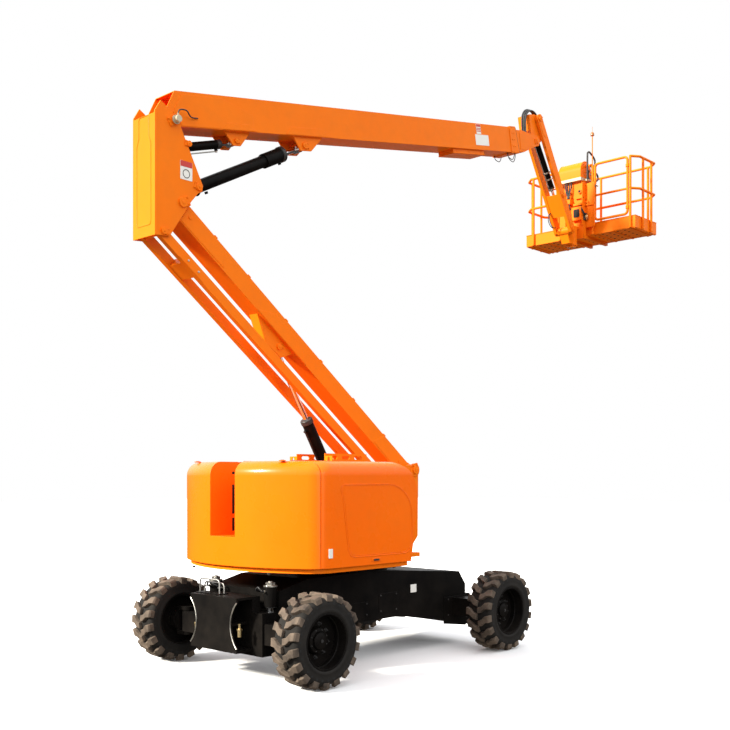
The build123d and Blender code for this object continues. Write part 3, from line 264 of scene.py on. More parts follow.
class Shape:
    """Mesh under construction; each call adds closed forms and gives the shape back."""

    def __init__(self):
        self.bm = bmesh.new()

    def skin(self, rings, closed=False):
        """Faces between rings of points, and caps at both ends unless the last ring meets the first."""
        rings = [[self.bm.verts.new(point) for point in ring] for ring in rings]
        for a, b in zip(rings, rings[1:] + rings[:closed]):
            for k in range(len(a)):
                n = (k + 1) % len(a)
                self.bm.faces.new((a[k], a[n], b[n], b[k]))
        if not closed:
            self.bm.faces.new(rings[0])
            self.bm.faces.new(rings[-1])
        return self

    def box(self, low, high, turn=Matrix()):
        """Box between two corners, then turned about the origin."""
        low, high = Vector(low), Vector(high)
        place = turn @ Matrix.Translation((low + high) / 2) @ Matrix.Diagonal((*(high - low), 1))
        bmesh.ops.create_cube(self.bm, size=1, matrix=place)
        return self

    def rod(self, start, end, radius, radius2=None, segments=24):
        start, end = Vector(start), Vector(end)
        bmesh.ops.create_cone(self.bm, cap_ends=True, segments=segments, radius1=radius,
                              radius2=radius if radius2 is None else radius2, depth=(end - start).length,
                              matrix=basis((start + end) / 2, end - start))
        return self

    def stack(self, foot, out, *parts):
        """Rods on one axis; each part is (start, end, radius), and may add its number of sides."""
        foot, out = Vector(foot), Vector(out)
        for start, end, radius, *sides in parts:
            self.rod(foot + out * start, foot + out * end, radius, segments=sides[0] if sides else 24)
        return self

    def ball(self, centre, radius, squash=1.0):
        place = Matrix.Translation(Vector(centre)) @ Matrix.Diagonal((1, 1, squash, 1))
        bmesh.ops.create_uvsphere(self.bm, u_segments=20, v_segments=12, radius=radius, matrix=place)
        return self

    def tube(self, points, radius, segments=10, closed=False):
        """Round tube along points, its frame carried along so that it doesn't twist."""
        pts = [Vector(p) for p in points]
        ends = (pts[-1], pts[0]) if closed else (pts[0], pts[-1])
        tangents = [(after - before).normalized()
                    for before, after in zip([ends[0], *pts[:-1]], [*pts[1:], ends[1]])]
        side = tangents[0].orthogonal().normalized()
        rings = []
        for point, tangent in zip(pts, tangents):
            side = (side - tangent * side.dot(tangent)).normalized()
            other = tangent.cross(side)
            rings.append([point + (side * a + other * b) * radius for a, b in around(segments)])
        return self.skin(rings, closed)

    def hose(self, points, radius, segments=10):
        return self.tube(smooth(points), radius, segments)

    def lathe(self, profile, place, segments=64, closed=False):
        """Profile of (radius, height) turned about the local Z of place."""
        return self.skin([[place @ Vector((a, b, height)) for a, b in around(segments, radius)]
                          for radius, height in profile], closed)

    def prism(self, outline, place, depth):
        """Flat outline of (x, y) in place, as thick as depth along its local Z."""
        return self.skin([[place @ Vector((px, py, height)) for px, py in outline] for height in (0, depth)])

    def plate(self, width, height, radius, place, depth, steps=5):
        """Rounded rectangle about the origin of place."""
        return self.prism(rounded(width, height, radius, steps), place, depth)

    def doubler(self, arm, outline, across, side, thickness=0.004):
        """Thin welded plate on an arm's side, from (along, above) corners."""
        return self.skin([[arm.at(a, h, side * (across + off)) for a, h in outline]
                          for off in (-0.002, thickness)])

    def bar(self, arm, along, above, across):
        """Box on an arm, from its three ranges."""
        length, height, width = (high - low for low, high in (along, above, across))
        return self.prism([(0, 0), (length, 0), (length, height), (0, height)],
                          arm.plane(along[0], above[0], across[0]), width)

    def bolt(self, at, out, size=0.012):
        """Hexagon head standing out from a face, on a washer."""
        return self.stack(at, Vector(out).normalized(), (-0.002, size * 0.25, size * 1.15, 20),
                          (0, size * 0.95, size * 0.86, 6))

    def piece(self, body, name, material, bevel=0.0, slot="own", angle=32):
        """Turns the mesh into an object that rides on a body."""
        bmesh.ops.recalc_face_normals(self.bm, faces=self.bm.faces)
        mesh = bpy.data.meshes.new(name)
        self.bm.to_mesh(mesh)
        self.bm.free()
        mesh.materials.append(material)
        mesh.polygons.foreach_set("use_smooth", [True] * len(mesh.polygons))
        mesh.set_sharp_from_angle(angle=math.radians(angle))
        made = bpy.data.objects.new(name, mesh)
        bpy.context.scene.collection.objects.link(made)
        if bevel:
            modifier = made.modifiers.new("soft edges", "BEVEL")
            modifier.width, modifier.segments = bevel, 2
            modifier.limit_method, modifier.angle_limit = "ANGLE", math.radians(40)
            modifier.harden_normals = True
        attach(made, body)
        if slot == "own":
            slot = SLOT_OF.get(material)
        return made


def shapes(count):
    return [Shape() for _ in range(count)]


def dress(body, *rows):
    """Turns shapes into pieces of one body; a row is shape, name, material, and maybe bevel and slot."""
    for shape, *looks in rows:
        shape.piece(body, *looks)


class Arm:
    """A straight arm in the X-Z plane: places along it, above it and across it."""

    def __init__(self, foot, head):
        self.foot = Vector(foot)
        run = Vector(head) - self.foot
        self.length, self.u = run.length, run.normalized()
        self.v = Vector((-self.u.z, 0, self.u.x))
        if self.v.z < 0:
            self.v.negate()

    def at(self, along, above=0.0, across=0.0):
        return self.foot + self.u * along + self.v * above + Y * across

    def plane(self, along, above, across, out=1):
        """Matrix with local X along the arm, local Y above it and local Z to the side out."""
        turn = Matrix((self.u, self.v, Y * out)).transposed()
        return Matrix.Translation(self.at(along, above, across)) @ turn.to_4x4()


# ---------------------------------------------------------------- camera, light and floor
def stand(name, data, place, look):
    """Camera or lamp at a place, looking along look."""
    made = bpy.data.objects.new(name, data)
    made.location = place
    made.rotation_mode = "QUATERNION"
    made.rotation_quaternion = look.to_track_quat("-Z", "Y")
    bpy.context.scene.collection.objects.link(made)
    return made


def camera():
    lens = bpy.data.cameras.new("camera")
    lens.sensor_width, lens.lens, lens.shift_y = 36, 49.07, 0.153
    lens.clip_start, lens.clip_end = 0.1, 200
    heading = math.radians(43)
    look = Vector((math.cos(heading), math.sin(heading), 0))
    bpy.context.scene.camera = stand("camera", lens, (-7.473, -7.306, 1.856), look)


def sun(name, place, energy, size, colour=(1, 1, 1)):
    lamp = bpy.data.lights.new(name, "SUN")
    lamp.energy, lamp.color, lamp.angle = energy, colour, math.radians(size)
    stand(name, lamp, place, Vector((0, 0, 1.5)) - Vector(place))


def sky():
    """Even white behind everything; as light, a bright sky over dark ground."""
    world = bpy.data.worlds.new("studio")
    world.use_nodes = True
    nodes, join = world.node_tree.nodes, world.node_tree.links.new
    split = nodes.new("ShaderNodeSeparateXYZ")
    join(nodes.new("ShaderNodeTexCoord").outputs["Generated"], split.inputs[0])
    ramp = nodes.new("ShaderNodeValToRGB")
    join(split.outputs["Z"], ramp.inputs[0])
    stops = ramp.color_ramp.elements
    stops[0].position, stops[0].color = 0.0, (0.07, 0.065, 0.06, 1)
    stops[1].position, stops[1].color = 1.0, (1.9, 1.92, 1.96, 1)
    for position, level in ((0.03, 0.6), (0.22, 1.35)):
        stops.new(position).color = (level, level, level * 1.01, 1)
    lamp = nodes.new("ShaderNodeBackground")
    join(ramp.outputs["Color"], lamp.inputs["Color"])
    background = nodes["Background"]
    background.inputs["Color"].default_value = (1, 1, 1, 1)
    pick = nodes.new("ShaderNodeMixShader")
    join(nodes.new("ShaderNodeLightPath").outputs["Is Camera Ray"], pick.inputs["Fac"])
    join(lamp.outputs[0], pick.inputs[1])
    join(background.outputs[0], pick.inputs[2])
    join(pick.outputs[0], nodes["World Output"].inputs["Surface"])
    bpy.context.scene.world = world


def ground():
    """Pale floor, seen by the camera but not lighting or shading the lift."""
    bm = bmesh.new()
    bmesh.ops.create_grid(bm, x_segments=1, y_segments=1, size=60)
    mesh = bpy.data.meshes.new("floor")
    bm.to_mesh(mesh)
    bm.free()
    floor = bpy.data.objects.new("floor", mesh)
    s = Shader("pale_floor")
    s.set(Base_Color=s.mix(s.times(s.noise(0.4, 3), 0.4), (0.86, 0.86, 0.86), (0.8, 0.8, 0.8)), Roughness=0.9)
    mesh.materials.append(s.material)
    floor.location.z = -0.001
    floor.visible_diffuse = floor.visible_glossy = floor.visible_shadow = False
    bpy.context.scene.collection.objects.link(floor)


camera()
sky()
bpy.context.scene.view_settings.view_transform = "Standard"
sun("key", (-10, 4, 7.5), 9.2, 8, (1.0, 0.95, 0.84))
sun("fill", (-3, -10, 4), 0.62, 40)
sun("bounce", (-2, -2, -10), 1.1, 80, (1.0, 0.9, 0.78))
ground()


# ---------------------------------------------------------------- wheels
TYRE_R = 0.42
LUGS = 18
LUG_PHASE = math.radians(4.54)             # a lug's corner is then the lowest point
# lug stations from the middle out: across, sweep along the tread, half length, top radius, foot radius
LUG_RUN = ((0.006, 0.000, 0.03, 0.42, 0.376), (0.05, 0.012, 0.031, 0.42, 0.376),
           (0.092, 0.052, 0.034, 0.42, 0.374), (0.138, 0.06, 0.037, 0.415, 0.362),
           (0.149, 0.061, 0.036, 0.398, 0.352))
# half of the carcass, from its bead to the middle of the tread: radius, half width
CARCASS_HALF = [(0.25, 0.126), (0.256, 0.14), (0.27, 0.1475), (0.284, 0.1475), (0.29, 0.143),
                (0.32, 0.1485), (0.352, 0.146), (0.372, 0.134), (0.384, 0.11), (0.387, 0.0)]
DISC = -0.02                               # outer face of the rim's disc


def lug(centre, turn, hand):
    """Rings of one tread block, swept from the tyre's middle to its shoulder."""
    rings = []
    for across, sweep, half, top, foot in LUG_RUN:
        ring = []
        for edge, radius, spread in ((-1, foot, 1.18), (-1, top, 1.0), (1, top, 1.0), (1, foot, 1.18)):
            a = turn + (sweep + edge * half * spread) / TYRE_R
            ring.append(centre + Vector((radius * math.sin(a), across * hand, radius * math.cos(a))))
        rings.append(ring)
    return rings


def wheel(end, side):
    """Tyre with swept lugs, near-black discs as painted shade in its vent holes, and the fittings of its rim.
    """
    body = f"wheel_{end}_{side}"
    centre = PIN[f"wheel_spin_{end}_{side}"]
    out = Y if side == "left" else -Y
    axle = basis(centre, out, X)
    carcass, tread, holes, rings, nuts = shapes(5)
    carcass.lathe(CARCASS_HALF + [(r, -h) for r, h in reversed(CARCASS_HALF[:-1])], axle, 96, closed=True)
    tyre = carcass.piece(body, f"{body}_carcass", CARCASS, angle=50)
    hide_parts(f"tyre_{end}_{side}")
    for k in range(2 * LUGS):
        tread.skin(lug(centre, math.pi * k / LUGS + LUG_PHASE, -1 if k % 2 else 1))
    # Near-black discs in the vent holes on both sides: painted shade, not the rubber's colour.
    for (a, b), way in product(around(30, 0.334), SIDES):
        holes.stack(axle @ Vector((a, b, way * 0.1465)), out * way, (0, 0.0016, 0.0105, 16))
    rings.lathe([(0.236, 0.122), (0.252, 0.118), (0.257, 0.128), (0.254, 0.137), (0.243, 0.139),
                 (0.236, 0.134)], axle, 72, closed=True)
    rings.lathe([(0.236, 0.03), (0.24, 0.036), (0.236, 0.042), (0.228, 0.036)], axle, 72, closed=True)
    rings.lathe([(0.07, DISC + 0.05), (0.078, DISC + 0.062), (0.074, DISC + 0.074), (0.058, DISC + 0.082),
                 (0.03, DISC + 0.088)], axle, 40)
    for a, b in around(9, 0.15):
        at = axle @ Vector((a, b, DISC))
        nuts.bolt(at, out, 0.016).stack(at, out, (0, 0.027, 0.008, 12))
    for a, b in around(8, 0.097, 0.5):
        nuts.bolt(axle @ Vector((a, b, DISC + 0.052)), out, 0.007)
    nuts.stack(centre, out, (DISC + 0.085, DISC + 0.096, 0.016, 6))
    dress(body, (tread, f"{body}_lugs", TREAD, 0.0045), (holes, f"{body}_vents", PAINTED_SHADE_AND_RUBBER, 0, "tyre_rubber"),
          (rings, f"{body}_rim_rings", BLACK), (nuts, f"{body}_nuts", DARK, 0.0012))


for wheel_place in product(("steer", "drive"), ("left", "right")):
    wheel(*wheel_place)


# ---------------------------------------------------------------- chassis
AXLE_Z = PIN["steer_left"].z
DRIVE_X = PIN["wheel_spin_drive_left"].x
FRAME_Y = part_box("chassis_frame")[1].y
MOTOR_Z = 0.4                              # height of the drive motor's axis
AXLE_LOW, AXLE_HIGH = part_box("steer_axle")


def lock_cylinders():
    """Caps, seals and hoses of the two axle lock cylinders."""
    low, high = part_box("axle_lock_rods")
    x = (low.x + high.x) / 2
    caps, hoses, seals = shapes(3)
    for side in SIDES:
        y = side * (high.y - 0.034)
        caps.stack((x, y, 0.84), Z, (0, 0.014, 0.066, 32), (0.012, 0.042, 0.046, 6), (0.04, 0.052, 0.02, 16))
        caps.stack((x, y, 0.8), -X, (0.06, 0.082, 0.014, 6))
        seals.stack((x, y, 0.648), Z, (0, 0.016, 0.052, 32))
        hoses.hose(near((x, y, 0.8), [(-0.075, 0, 0), (-0.105, 0, 0.005), (-0.115, -0.04, 0.04),
                                      (-0.06, -0.12, 0), (0.1, -0.14, -0.02), (0.24, -0.15, 0)],
                        side), 0.0085)
    dress("chassis", (caps, "lock_cylinder_caps", ZINC, 0.0015), (seals, "lock_cylinder_seals", DARK, 0.001),
          (hoses, "lock_cylinder_hoses", HOSE))


def lift_handle():
    """Bent wire guard standing on the steer axle's end box."""
    wires, foot = shapes(2)
    x, top = AXLE_LOW.x + 0.1, AXLE_HIGH.z
    y0, y1, corner, cut = 0.03, 0.32, 0.03, 0.009
    for dx, rise in ((0.0, 0.135), (0.055, 0.1)):
        half = [(y0, -0.01), (y0, rise - corner), (y0 + cut, rise - cut), (y0 + corner, rise)]
        route = half + [(y0 + y1 - y, z) for y, z in reversed(half)]
        wires.tube([(x + dx, y, top + z) for y, z in route], 0.0075)
    for y in (0.05, 0.3):
        wires.stack((x, y, top + 0.06), X, (0, 0.055, 0.006))
    foot.box((x - 0.03, 0.005, top - 0.002), (x + 0.085, 0.35, top + 0.008))
    dress("chassis", (wires, "wire_guard", WIRE), (foot, "wire_guard_foot", BLACK, 0.002))


def end_box():
    """Fittings in the bites of the steer axle's end plate, and bright zinc arcs along the bites as a painted
    highlight on the plate's rolled lips.
    """
    x = AXLE_LOW.x
    fittings, lips = shapes(2)
    turns = [math.radians(-46 + 92 * k / 18) for k in range(19)]
    for side in SIDES:
        fittings.stack((x + 0.055, side * 0.315, 0), Z, (0.4, 0.455, 0.02, 20), (0.455, 0.475, 0.027, 6),
                       (0.475, 0.52, 0.012, 16))
        # Bright zinc arcs: a painted highlight where the rolled lips of the bites catch the light.
        lips.tube([(x - 0.001, side * (0.54 - 0.29 * math.cos(a)), 0.505 + 0.29 * math.sin(a))
                   for a in turns], 0.006, 8)
    dress("chassis", (fittings, "axle_fittings", BRASS, 0.0012), (lips, "end_plate_lips", ZINC))


def frame_sides():
    """Plates, covers and bolts on the chassis frame's sides."""
    plates, labels, bolts, covers = shapes(4)
    for side in SIDES:
        y = side * FRAME_Y
        labels.plate(0.095, 0.085, 0.006, wall(0.6, y - side * 0.002, 0.672, side), 0.004, 3)
        plates.plate(0.44, 0.15, 0.02, wall(-0.32, y - side * 0.003, 0.52, side), 0.007)
        plates.plate(0.3, 0.2, 0.02, wall(0.2, y - side * 0.003, 0.56, side), 0.007)
        for px, pz in (*product((-0.51, -0.13), (0.465, 0.575)), *product((0.08, 0.32), (0.48, 0.64))):
            bolts.bolt((px, y + side * 0.004, pz), Y * side, 0.008)
        for px, pz in ((-0.185, 0.5), (-0.185, 0.33), (0.15, 0.5), (0.15, 0.28)):
            bolts.bolt((DRIVE_X + px, y - side * 0.003, pz), Y * side, 0.01)
        covers.prism([(-0.24, -0.19), (0.155, -0.245), (0.155, 0.1), (-0.24, 0.1)],
                     wall(DRIVE_X - 0.02, y - side * 0.005, 0.43, side), 0.007)
    dress("chassis", (labels, "chassis_blank_plates", WHITE), (plates, "chassis_side_covers", BLACK, 0.0015),
          (covers, "axle_case_covers", BLACK, 0.0015), (bolts, "chassis_bolts", DARK, 0.001))


def slewing_gear():
    """Bolts round the slewing ring, and its teeth."""
    low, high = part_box("slewing_ring")
    radius = (high.x - low.x) / 2
    bolts, teeth = shapes(2)
    for a, b in around(32, radius * 1.028, 0.5):
        bolts.bolt((a, b, low.z), Z, 0.01)
    for k in range(96):
        teeth.box((radius - 0.004, -0.008, low.z + 0.006), (radius + 0.008, 0.008, low.z + 0.032),
                  Matrix.Rotation(2 * math.pi * k / 96, 4, "Z"))
    dress("chassis", (bolts, "slewing_bolts", DARK), (teeth, "slewing_teeth", DARK))


def steering_hoses():
    """Hoses to the steering cylinder and along the frame."""
    low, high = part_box("steer_cylinder")
    x, z = (low.x + high.x) / 2 + 0.02, high.z
    hoses, ends = shapes(2)
    for side in SIDES:
        ends.stack((x, side * 0.2, z), Z, (-0.03, 0.03, 0.014, 6))
        hoses.hose(near((x, 0, z), [(0, 0.2, 0.02), (0.01, 0.2, 0.1), (0.08, 0.17, 0.16), (0.16, 0.1, 0.2),
                                    (0.22, 0.08, 0.26)], side), 0.009)
    for y in (-0.3, -0.275, 0.285):
        hoses.hose([(-0.95, y, 0.392), (-0.5, y + 0.01, 0.385), (0.0, y - 0.01, 0.388), (0.35, y, 0.388),
                    (0.7, y * 0.9, 0.345)], 0.01)
    dress("chassis", (hoses, "steering_hoses", HOSE), (ends, "steering_hose_ends", ZINC))


def drive_motors():
    """Drive motor before the axle housing, with its ports, and the gear cases' bolt rings."""
    bolts, motor, ports, hoses = shapes(4)
    for side in SIDES:
        for a, b in around(12, 0.132):
            bolts.bolt((DRIVE_X + a, side * 0.745, AXLE_Z + b), Y * -side, 0.009)
    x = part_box("drive_axle")[1].x
    motor.lathe([(0.105, 0.0), (0.105, 0.02), (0.085, 0.03), (0.085, 0.1), (0.07, 0.115), (0.02, 0.118)],
                basis((x - 0.002, 0, MOTOR_Z), X), 40)
    for a, b in around(6, 0.095):
        ports.bolt((x + 0.018, a, MOTOR_Z + b), X, 0.009)
    for y in (0.03, -0.03):
        ports.stack((x + 0.06, y, 0), Z, (0.47, 0.51, 0.014, 6))
        hoses.hose([(x + 0.06, y, 0.505), (x + 0.055, y, 0.56), (x + 0.01, y * 1.2, 0.6),
                    (x - 0.05, y * 1.5, 0.615), (x - 0.09, y * 2, 0.6)], 0.01)
    dress("chassis", (bolts, "gear_case_bolts", DARK), (motor, "drive_motor", BLACK, 0.002),
          (ports, "drive_motor_ports", ZINC), (hoses, "drive_hoses", HOSE))


lock_cylinders()
lift_handle()
end_box()
frame_sides()
slewing_gear()
steering_hoses()
drive_motors()


# ---------------------------------------------------------------- turntable
DECK_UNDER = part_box("turntable_frame")[0].z
HOOD_LOW, HOOD_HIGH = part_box("hood_left")
TAIL_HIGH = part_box("counterweight")[1]
HINGE_Y = 0.338                            # the hoods' hinges, from the middle plane
TANK_Y = -0.62                             # the tanks' filler caps


def hoods():
    """Embossed door line, latch, label and hinges of each hood, and near-black boxes as painted shade in its
    top slots.
    """
    back, front = HOOD_LOW.x, HOOD_HIGH.x
    low, top = HOOD_LOW.z, HOOD_HIGH.z
    bend_x, bend_z, radius = front - 0.42, top - 0.215, 0.3
    corners = [(back + 0.26, bend_z), (bend_x, bend_z)]
    for k in range(1, 9):
        a = math.radians(90 - 78 * k / 8)
        corners.append((bend_x + (radius + 0.04) * math.cos(a), bend_z - radius + radius * math.sin(a)))
    corners += [(front - 0.075, low + 0.36), (front - 0.085, low + 0.16), (front - 0.12, low + 0.105),
                (front - 0.18, low + 0.085), (back + 0.4, low + 0.085), (back + 0.345, low + 0.1),
                (back + 0.31, low + 0.15), (back + 0.25, top - 0.4), (back + 0.215, top - 0.27),
                (back + 0.225, top - 0.235)]
    for body, side in (("hood_left", 1), ("hood_right", -1)):
        y = side * HOOD_HIGH.y
        line, step, plate, latch, label, hinges, slots = shapes(7)
        loop = [Vector((px, y - side * 0.0015, pz)) for px, pz in corners]
        centre = sum(loop, Vector()) / len(loop)
        line.tube(loop, 0.0055, 8, closed=True)
        step.tube([centre + (p - centre) * 0.965 for p in loop], 0.0035, 8, closed=True)
        plate.plate(0.13, 0.036, 0.008, wall(front - 0.6, y - side * 0.003, low + 0.045, side), 0.006)
        latch.plate(0.075, 0.018, 0.007, wall(front - 0.6, y + side * 0.002, low + 0.045, side), 0.006)
        label.plate(0.05, 0.085, 0.004, wall(back + 0.085, y - side * 0.002, low + 0.135, side), 0.003, 3)
        for px in (back + 0.25, (back + front) / 2, front - 0.45):
            hinges.stack((px, side * HINGE_Y, top + 0.004), X, (-0.05, 0.05, 0.009))
            hinges.box((px - 0.045, side * HINGE_Y, top - 0.002), (px + 0.045, side * 0.4, top + 0.004))
        # Near-black boxes in the top slots: painted shade of the hood's inside.
        for k in range(7):
            px = back + 0.2 + 0.055 * k
            slots.box((px, side * 0.62, top - 0.002), (px + 0.025, side * 0.84, top + 0.003))
        dress(body, (line, f"{body}_door_line", COVER), (step, f"{body}_door_step", COVER),
              (plate, f"{body}_latch_plate", COVER, 0.0015), (latch, f"{body}_latch", DARK, 0.001),
              (label, f"{body}_blank_label", WHITE), (hinges, f"{body}_hinges", DARK, 0.001),
              (slots, f"{body}_top_slots", PAINTED_SHADE_AND_RUBBER, 0, "black_paint"))


def tail():
    """Near-black strips as painted shade in the tail channel's slots, lifting eyes, and the bolts below the
    tail weight.
    """
    slots, eyes, plugs, bolts = shapes(4)
    x = TAIL_HIGH.x
    for side in SIDES:
        # Near-black strips on the channel walls: painted shade of the gaps behind them.
        for z0, z1 in ((1.335, 1.46), (1.5, 1.78), (1.88, 1.905)):
            slots.box((x - 0.075, side * 0.1785, z0), (x - 0.028, side * 0.1805, z1))
        at = (-1.4, side * 0.62, TAIL_HIGH.z)
        eyes.stack(at, Z, (-0.004, 0.006, 0.032, 32))
        plugs.stack(at, Z, (0.004, 0.01, 0.018, 6))
        for px in (-1.3, -1.5):
            bolts.bolt((px, side * 0.55, DECK_UNDER), -Z, 0.016)
    dress("turntable", (slots, "tail_slots", PAINTED_SHADE_AND_RUBBER, 0, "black_paint"),
          (eyes, "lifting_eye_rings", COVER, 0.002), (plugs, "lifting_eye_plugs", DARK, 0.001),
          (bolts, "tail_bolts", DARK))


def deck():
    """Slewing motor under the deck, hoses beside it, and the ground control box."""
    motor, gear, hoses, panel, lamps, stop = shapes(6)
    y, z = -0.475, 0.946
    motor.stack((0, y, z), X, (0.14, 0.265, 0.033, 32), (0.262, 0.275, 0.026))
    gear.stack((0, y, z), X, (0.275, 0.3, 0.036, 32), (0.06, 0.14, 0.028))
    gear.box((-0.04, -0.53, z - 0.028), (0.07, -0.43, z + 0.036))
    for a, b in around(8, 0.027):
        gear.bolt((0.3, y + a, z + b), X, 0.005)
    for k in range(4):
        y = -0.36 + 0.035 * k
        hoses.hose([(0.62, y, 1), (0.5, y - 0.02, 0.975), (0.3, y - 0.03, 0.965), (0.05, y - 0.06, 0.97),
                    (-0.12, y - 0.08, 0.975)], 0.01)
    panel.plate(0.26, 0.34, 0.02, wall(0.42, -0.2225, 1.5, -1), 0.03)
    for row, column in product(range(3), range(3)):
        lamps.stack((0.355 + 0.065 * column, -0.2525, 1.43 + 0.075 * row), -Y, (0, 0.01, 0.011),
                    (0.008, 0.03, 0.004))
    stop.rod((0.42, -0.252, 1.635), (0.42, -0.268, 1.635), 0.013)
    stop.rod((0.42, -0.266, 1.635), (0.42, -0.28, 1.635), 0.021, 0.018)
    dress("turntable", (motor, "slew_motor", BRASS, 0.002), (gear, "slew_gear_case", BLACK, 0.002),
          (hoses, "deck_hoses", HOSE), (panel, "ground_control_box", GREY, 0.004),
          (lamps, "ground_control_switches", DARK, 0.0008), (stop, "ground_stop_button", RED, 0.002))


def machinery():
    """What an open hood shows: engine ribs, air filter, silencer, tank caps and hoses."""
    low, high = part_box("engine")
    tank_low, tank_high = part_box("tanks")
    ribs, dark, bright, hoses = shapes(4)
    for k in range(9):
        px = low.x + 0.06 + 0.078 * k
        ribs.box((px, high.y - 0.004, low.z + 0.12), (px + 0.03, high.y + 0.022, low.z + 0.44))
    port = (low.x + 0.2, high.y, low.z + 0.52)
    ribs.stack(port, Y, (-0.1, 0.02, 0.075))
    bright.stack(port, Y, (0.02, 0.035, 0.045))
    dark.stack((low.x, high.y - 0.1, high.z + 0.07), X, (0.12, 0.46, 0.062))
    dark.rod((low.x + 0.52, low.y + 0.12, high.z + 0.045), (high.x - 0.02, low.y + 0.12, high.z + 0.045),
             0.045)
    for px, cap_top in ((tank_low.x + 0.12, 1.6), (tank_high.x - 0.12, 1.685)):
        bright.rod((px, TANK_Y, 1.555), (px, TANK_Y, cap_top), 0.038)
    x, y = high.x, low.y
    for k in range(3):
        hoses.hose([(x - 0.05, y + 0.05 + 0.05 * k, 1.3), (x + 0.06, y + 0.02 * k, 1.34),
                    (x + 0.1, y - 0.06, 1.2 + 0.06 * k), (x + 0.02, y - 0.12, 1.1),
                    (x - 0.1, y - 0.16, 1.06)], 0.012)
    dress("turntable", (ribs, "engine_ribs", MACHINERY, 0.003), (dark, "silencer_and_filter", DARK, 0.004),
          (bright, "machinery_caps", ZINC, 0.002), (hoses, "engine_hoses", HOSE))


hoods()
tail()
deck()
machinery()


# ---------------------------------------------------------------- arms
def eye(cylinder, radius):
    """Centre of a rod's eye, from its cylinder's foot, its slide's direction and the node's box."""
    foot, run = PIN[f"{cylinder}_barrel_tilt"], Vector(JOINTS[f"{cylinder}_rod_slide"]["axis"])
    node = f"{cylinder}_rod"
    low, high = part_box(node)
    end = high.x - radius if run.x > 0 else low.x + radius
    return foot + run * ((end - foot.x) / run.x)


TOWER = Arm(PIN["tower_lift"], PIN["upright_level"])
LINK_FOOT = PIN["tower_link_swing"]
LINK = Arm(LINK_FOOT, LINK_FOOT + TOWER.u * TOWER.length)
BOOM = Arm(PIN["boom_lift"], PIN["boom_lift"] + Vector(JOINTS["fly_extend"]["axis"]))
JIB = Arm(PIN["jib_lift"], PIN["jib_head_level"])
EYE_RADIUS = {"tower": 0.0442, "lift": 0.0476, "level": 0.0374, "jib": 0.034}
EYE = {name: eye(name, radius) for name, radius in EYE_RADIUS.items()}
UPRIGHT_LOW, UPRIGHT_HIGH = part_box("upright")
UPRIGHT_Y = UPRIGHT_HIGH.y
BOOM_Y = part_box("main_boom")[1].y
JIB_Y = 0.132                              # outer faces of the jib's pin bosses
LABEL_Z = 4.555                            # middle of the upright's side labels
TRAY_Y = 0.11                              # outer faces of the hose tray


def pin_heads():
    """Pin ends with their keeper plates and bolts on the outer faces that hold them."""
    # body: (pin, outer face, head radius, keeper's direction)
    table = {
        "turntable": [(PIN["tower_lift"], 0.228, 0.044, (-0.2, 1)), (LINK_FOOT, 0.22, 0.034, (1, 0.3))],
        "upright": [(PIN["upright_level"], UPRIGHT_Y, 0.044, (1, 0.4)),
                    (LINK.at(LINK.length), UPRIGHT_Y, 0.032, (1, 0)),
                    (PIN["boom_lift"], UPRIGHT_Y, 0.04, (-1, -0.6)),
                    (PIN["lift_barrel_tilt"], UPRIGHT_Y, 0.032, (-1, 0.3)),
                    (PIN["level_barrel_tilt"], UPRIGHT_Y, 0.026, (-1, 0))],
        "tower": [(EYE["tower"], 0.057, 0.03, (1, 0.4))],
        "main_boom": [(EYE["lift"], 0.112, 0.032, (1, 0.2)), (EYE["level"], 0.094, 0.025, (1, 0.2))],
        "fly": [(PIN["jib_base_level"], 0.12, 0.034, (-1, -0.3))],
        "jib_base": [(PIN["jib_barrel_tilt"], 0.086, 0.024, (1, -0.5))],
        "jib": [(PIN["jib_lift"], JIB_Y, 0.032, (0.6, 1)), (PIN["jib_head_level"], JIB_Y, 0.03, (-0.6, 1)),
                (EYE["jib"], JIB_Y, 0.022, (-0.6, 1))],
    }
    for body, pins in table.items():
        heads, keepers = shapes(2)
        for (centre, face, radius, (dx, dz)), side in product(pins, SIDES):
            run, out = Vector((dx, 0, dz)).normalized(), Y * side
            at = Vector((centre.x, side * face, centre.z))
            heads.stack(at, out, (-0.002, 0.016, radius, 36), (0.014, 0.02, radius * 0.35, 20))
            keepers.plate(radius * 2.0, radius * 1.1, radius * 0.2, basis(at + run * radius * 1.15, out, run),
                          0.008, 3)
            for way in (-1, 1):
                spot = at + run * radius * 1.3 + run.cross(out) * way * radius * 0.68
                keepers.bolt(spot + out * 0.006, out, radius * 0.24)
        dress(body, (heads, f"{body}_pin_heads", ORANGE, 0.0025),
              (keepers, f"{body}_pin_keepers", ORANGE, 0.0012))


def tower_details():
    """Doublers and bosses of the lower arm, and the hoses on top of it with their clips."""
    plates, bosses, hoses, clips = shapes(4)
    face, end = 0.1, TOWER.length
    for side in SIDES:
        for outline in ([(0.1, -0.095), (0.62, -0.085), (0.52, 0.066), (0.1, 0.066)],
                        [(end - 0.6, 0.066), (end - 0.7, -0.085), (end - 0.1, -0.095), (end - 0.1, 0.066)],
                        [(1.86, -0.1), (2, 0.02), (2.46, 0.02), (2.66, -0.1)]):
            plates.doubler(TOWER, outline, face, side)
        for along in (0.16, end - 0.16):
            bosses.stack(TOWER.at(along, 0.0, side * face), Y * side, (0, 0.01, 0.02))
    for across in (-0.055, -0.02, 0.02, 0.055):
        hoses.tube([TOWER.at(along, 0.088, across) for along in (0.35, 1.2, 2.2, end - 0.35)], 0.01)
    for along in (0.5, 1.1, 1.7, 2.3, 2.9, 3.4):
        clips.bar(TOWER, (along - 0.02, along + 0.02), (0.074, 0.102), (-0.08, 0.08))
    dress("tower", (plates, "tower_doublers", ORANGE, 0.0015), (bosses, "tower_bosses", ORANGE, 0.002),
          (hoses, "tower_hoses", HOSE), (clips, "tower_hose_clips", ORANGE, 0.001))


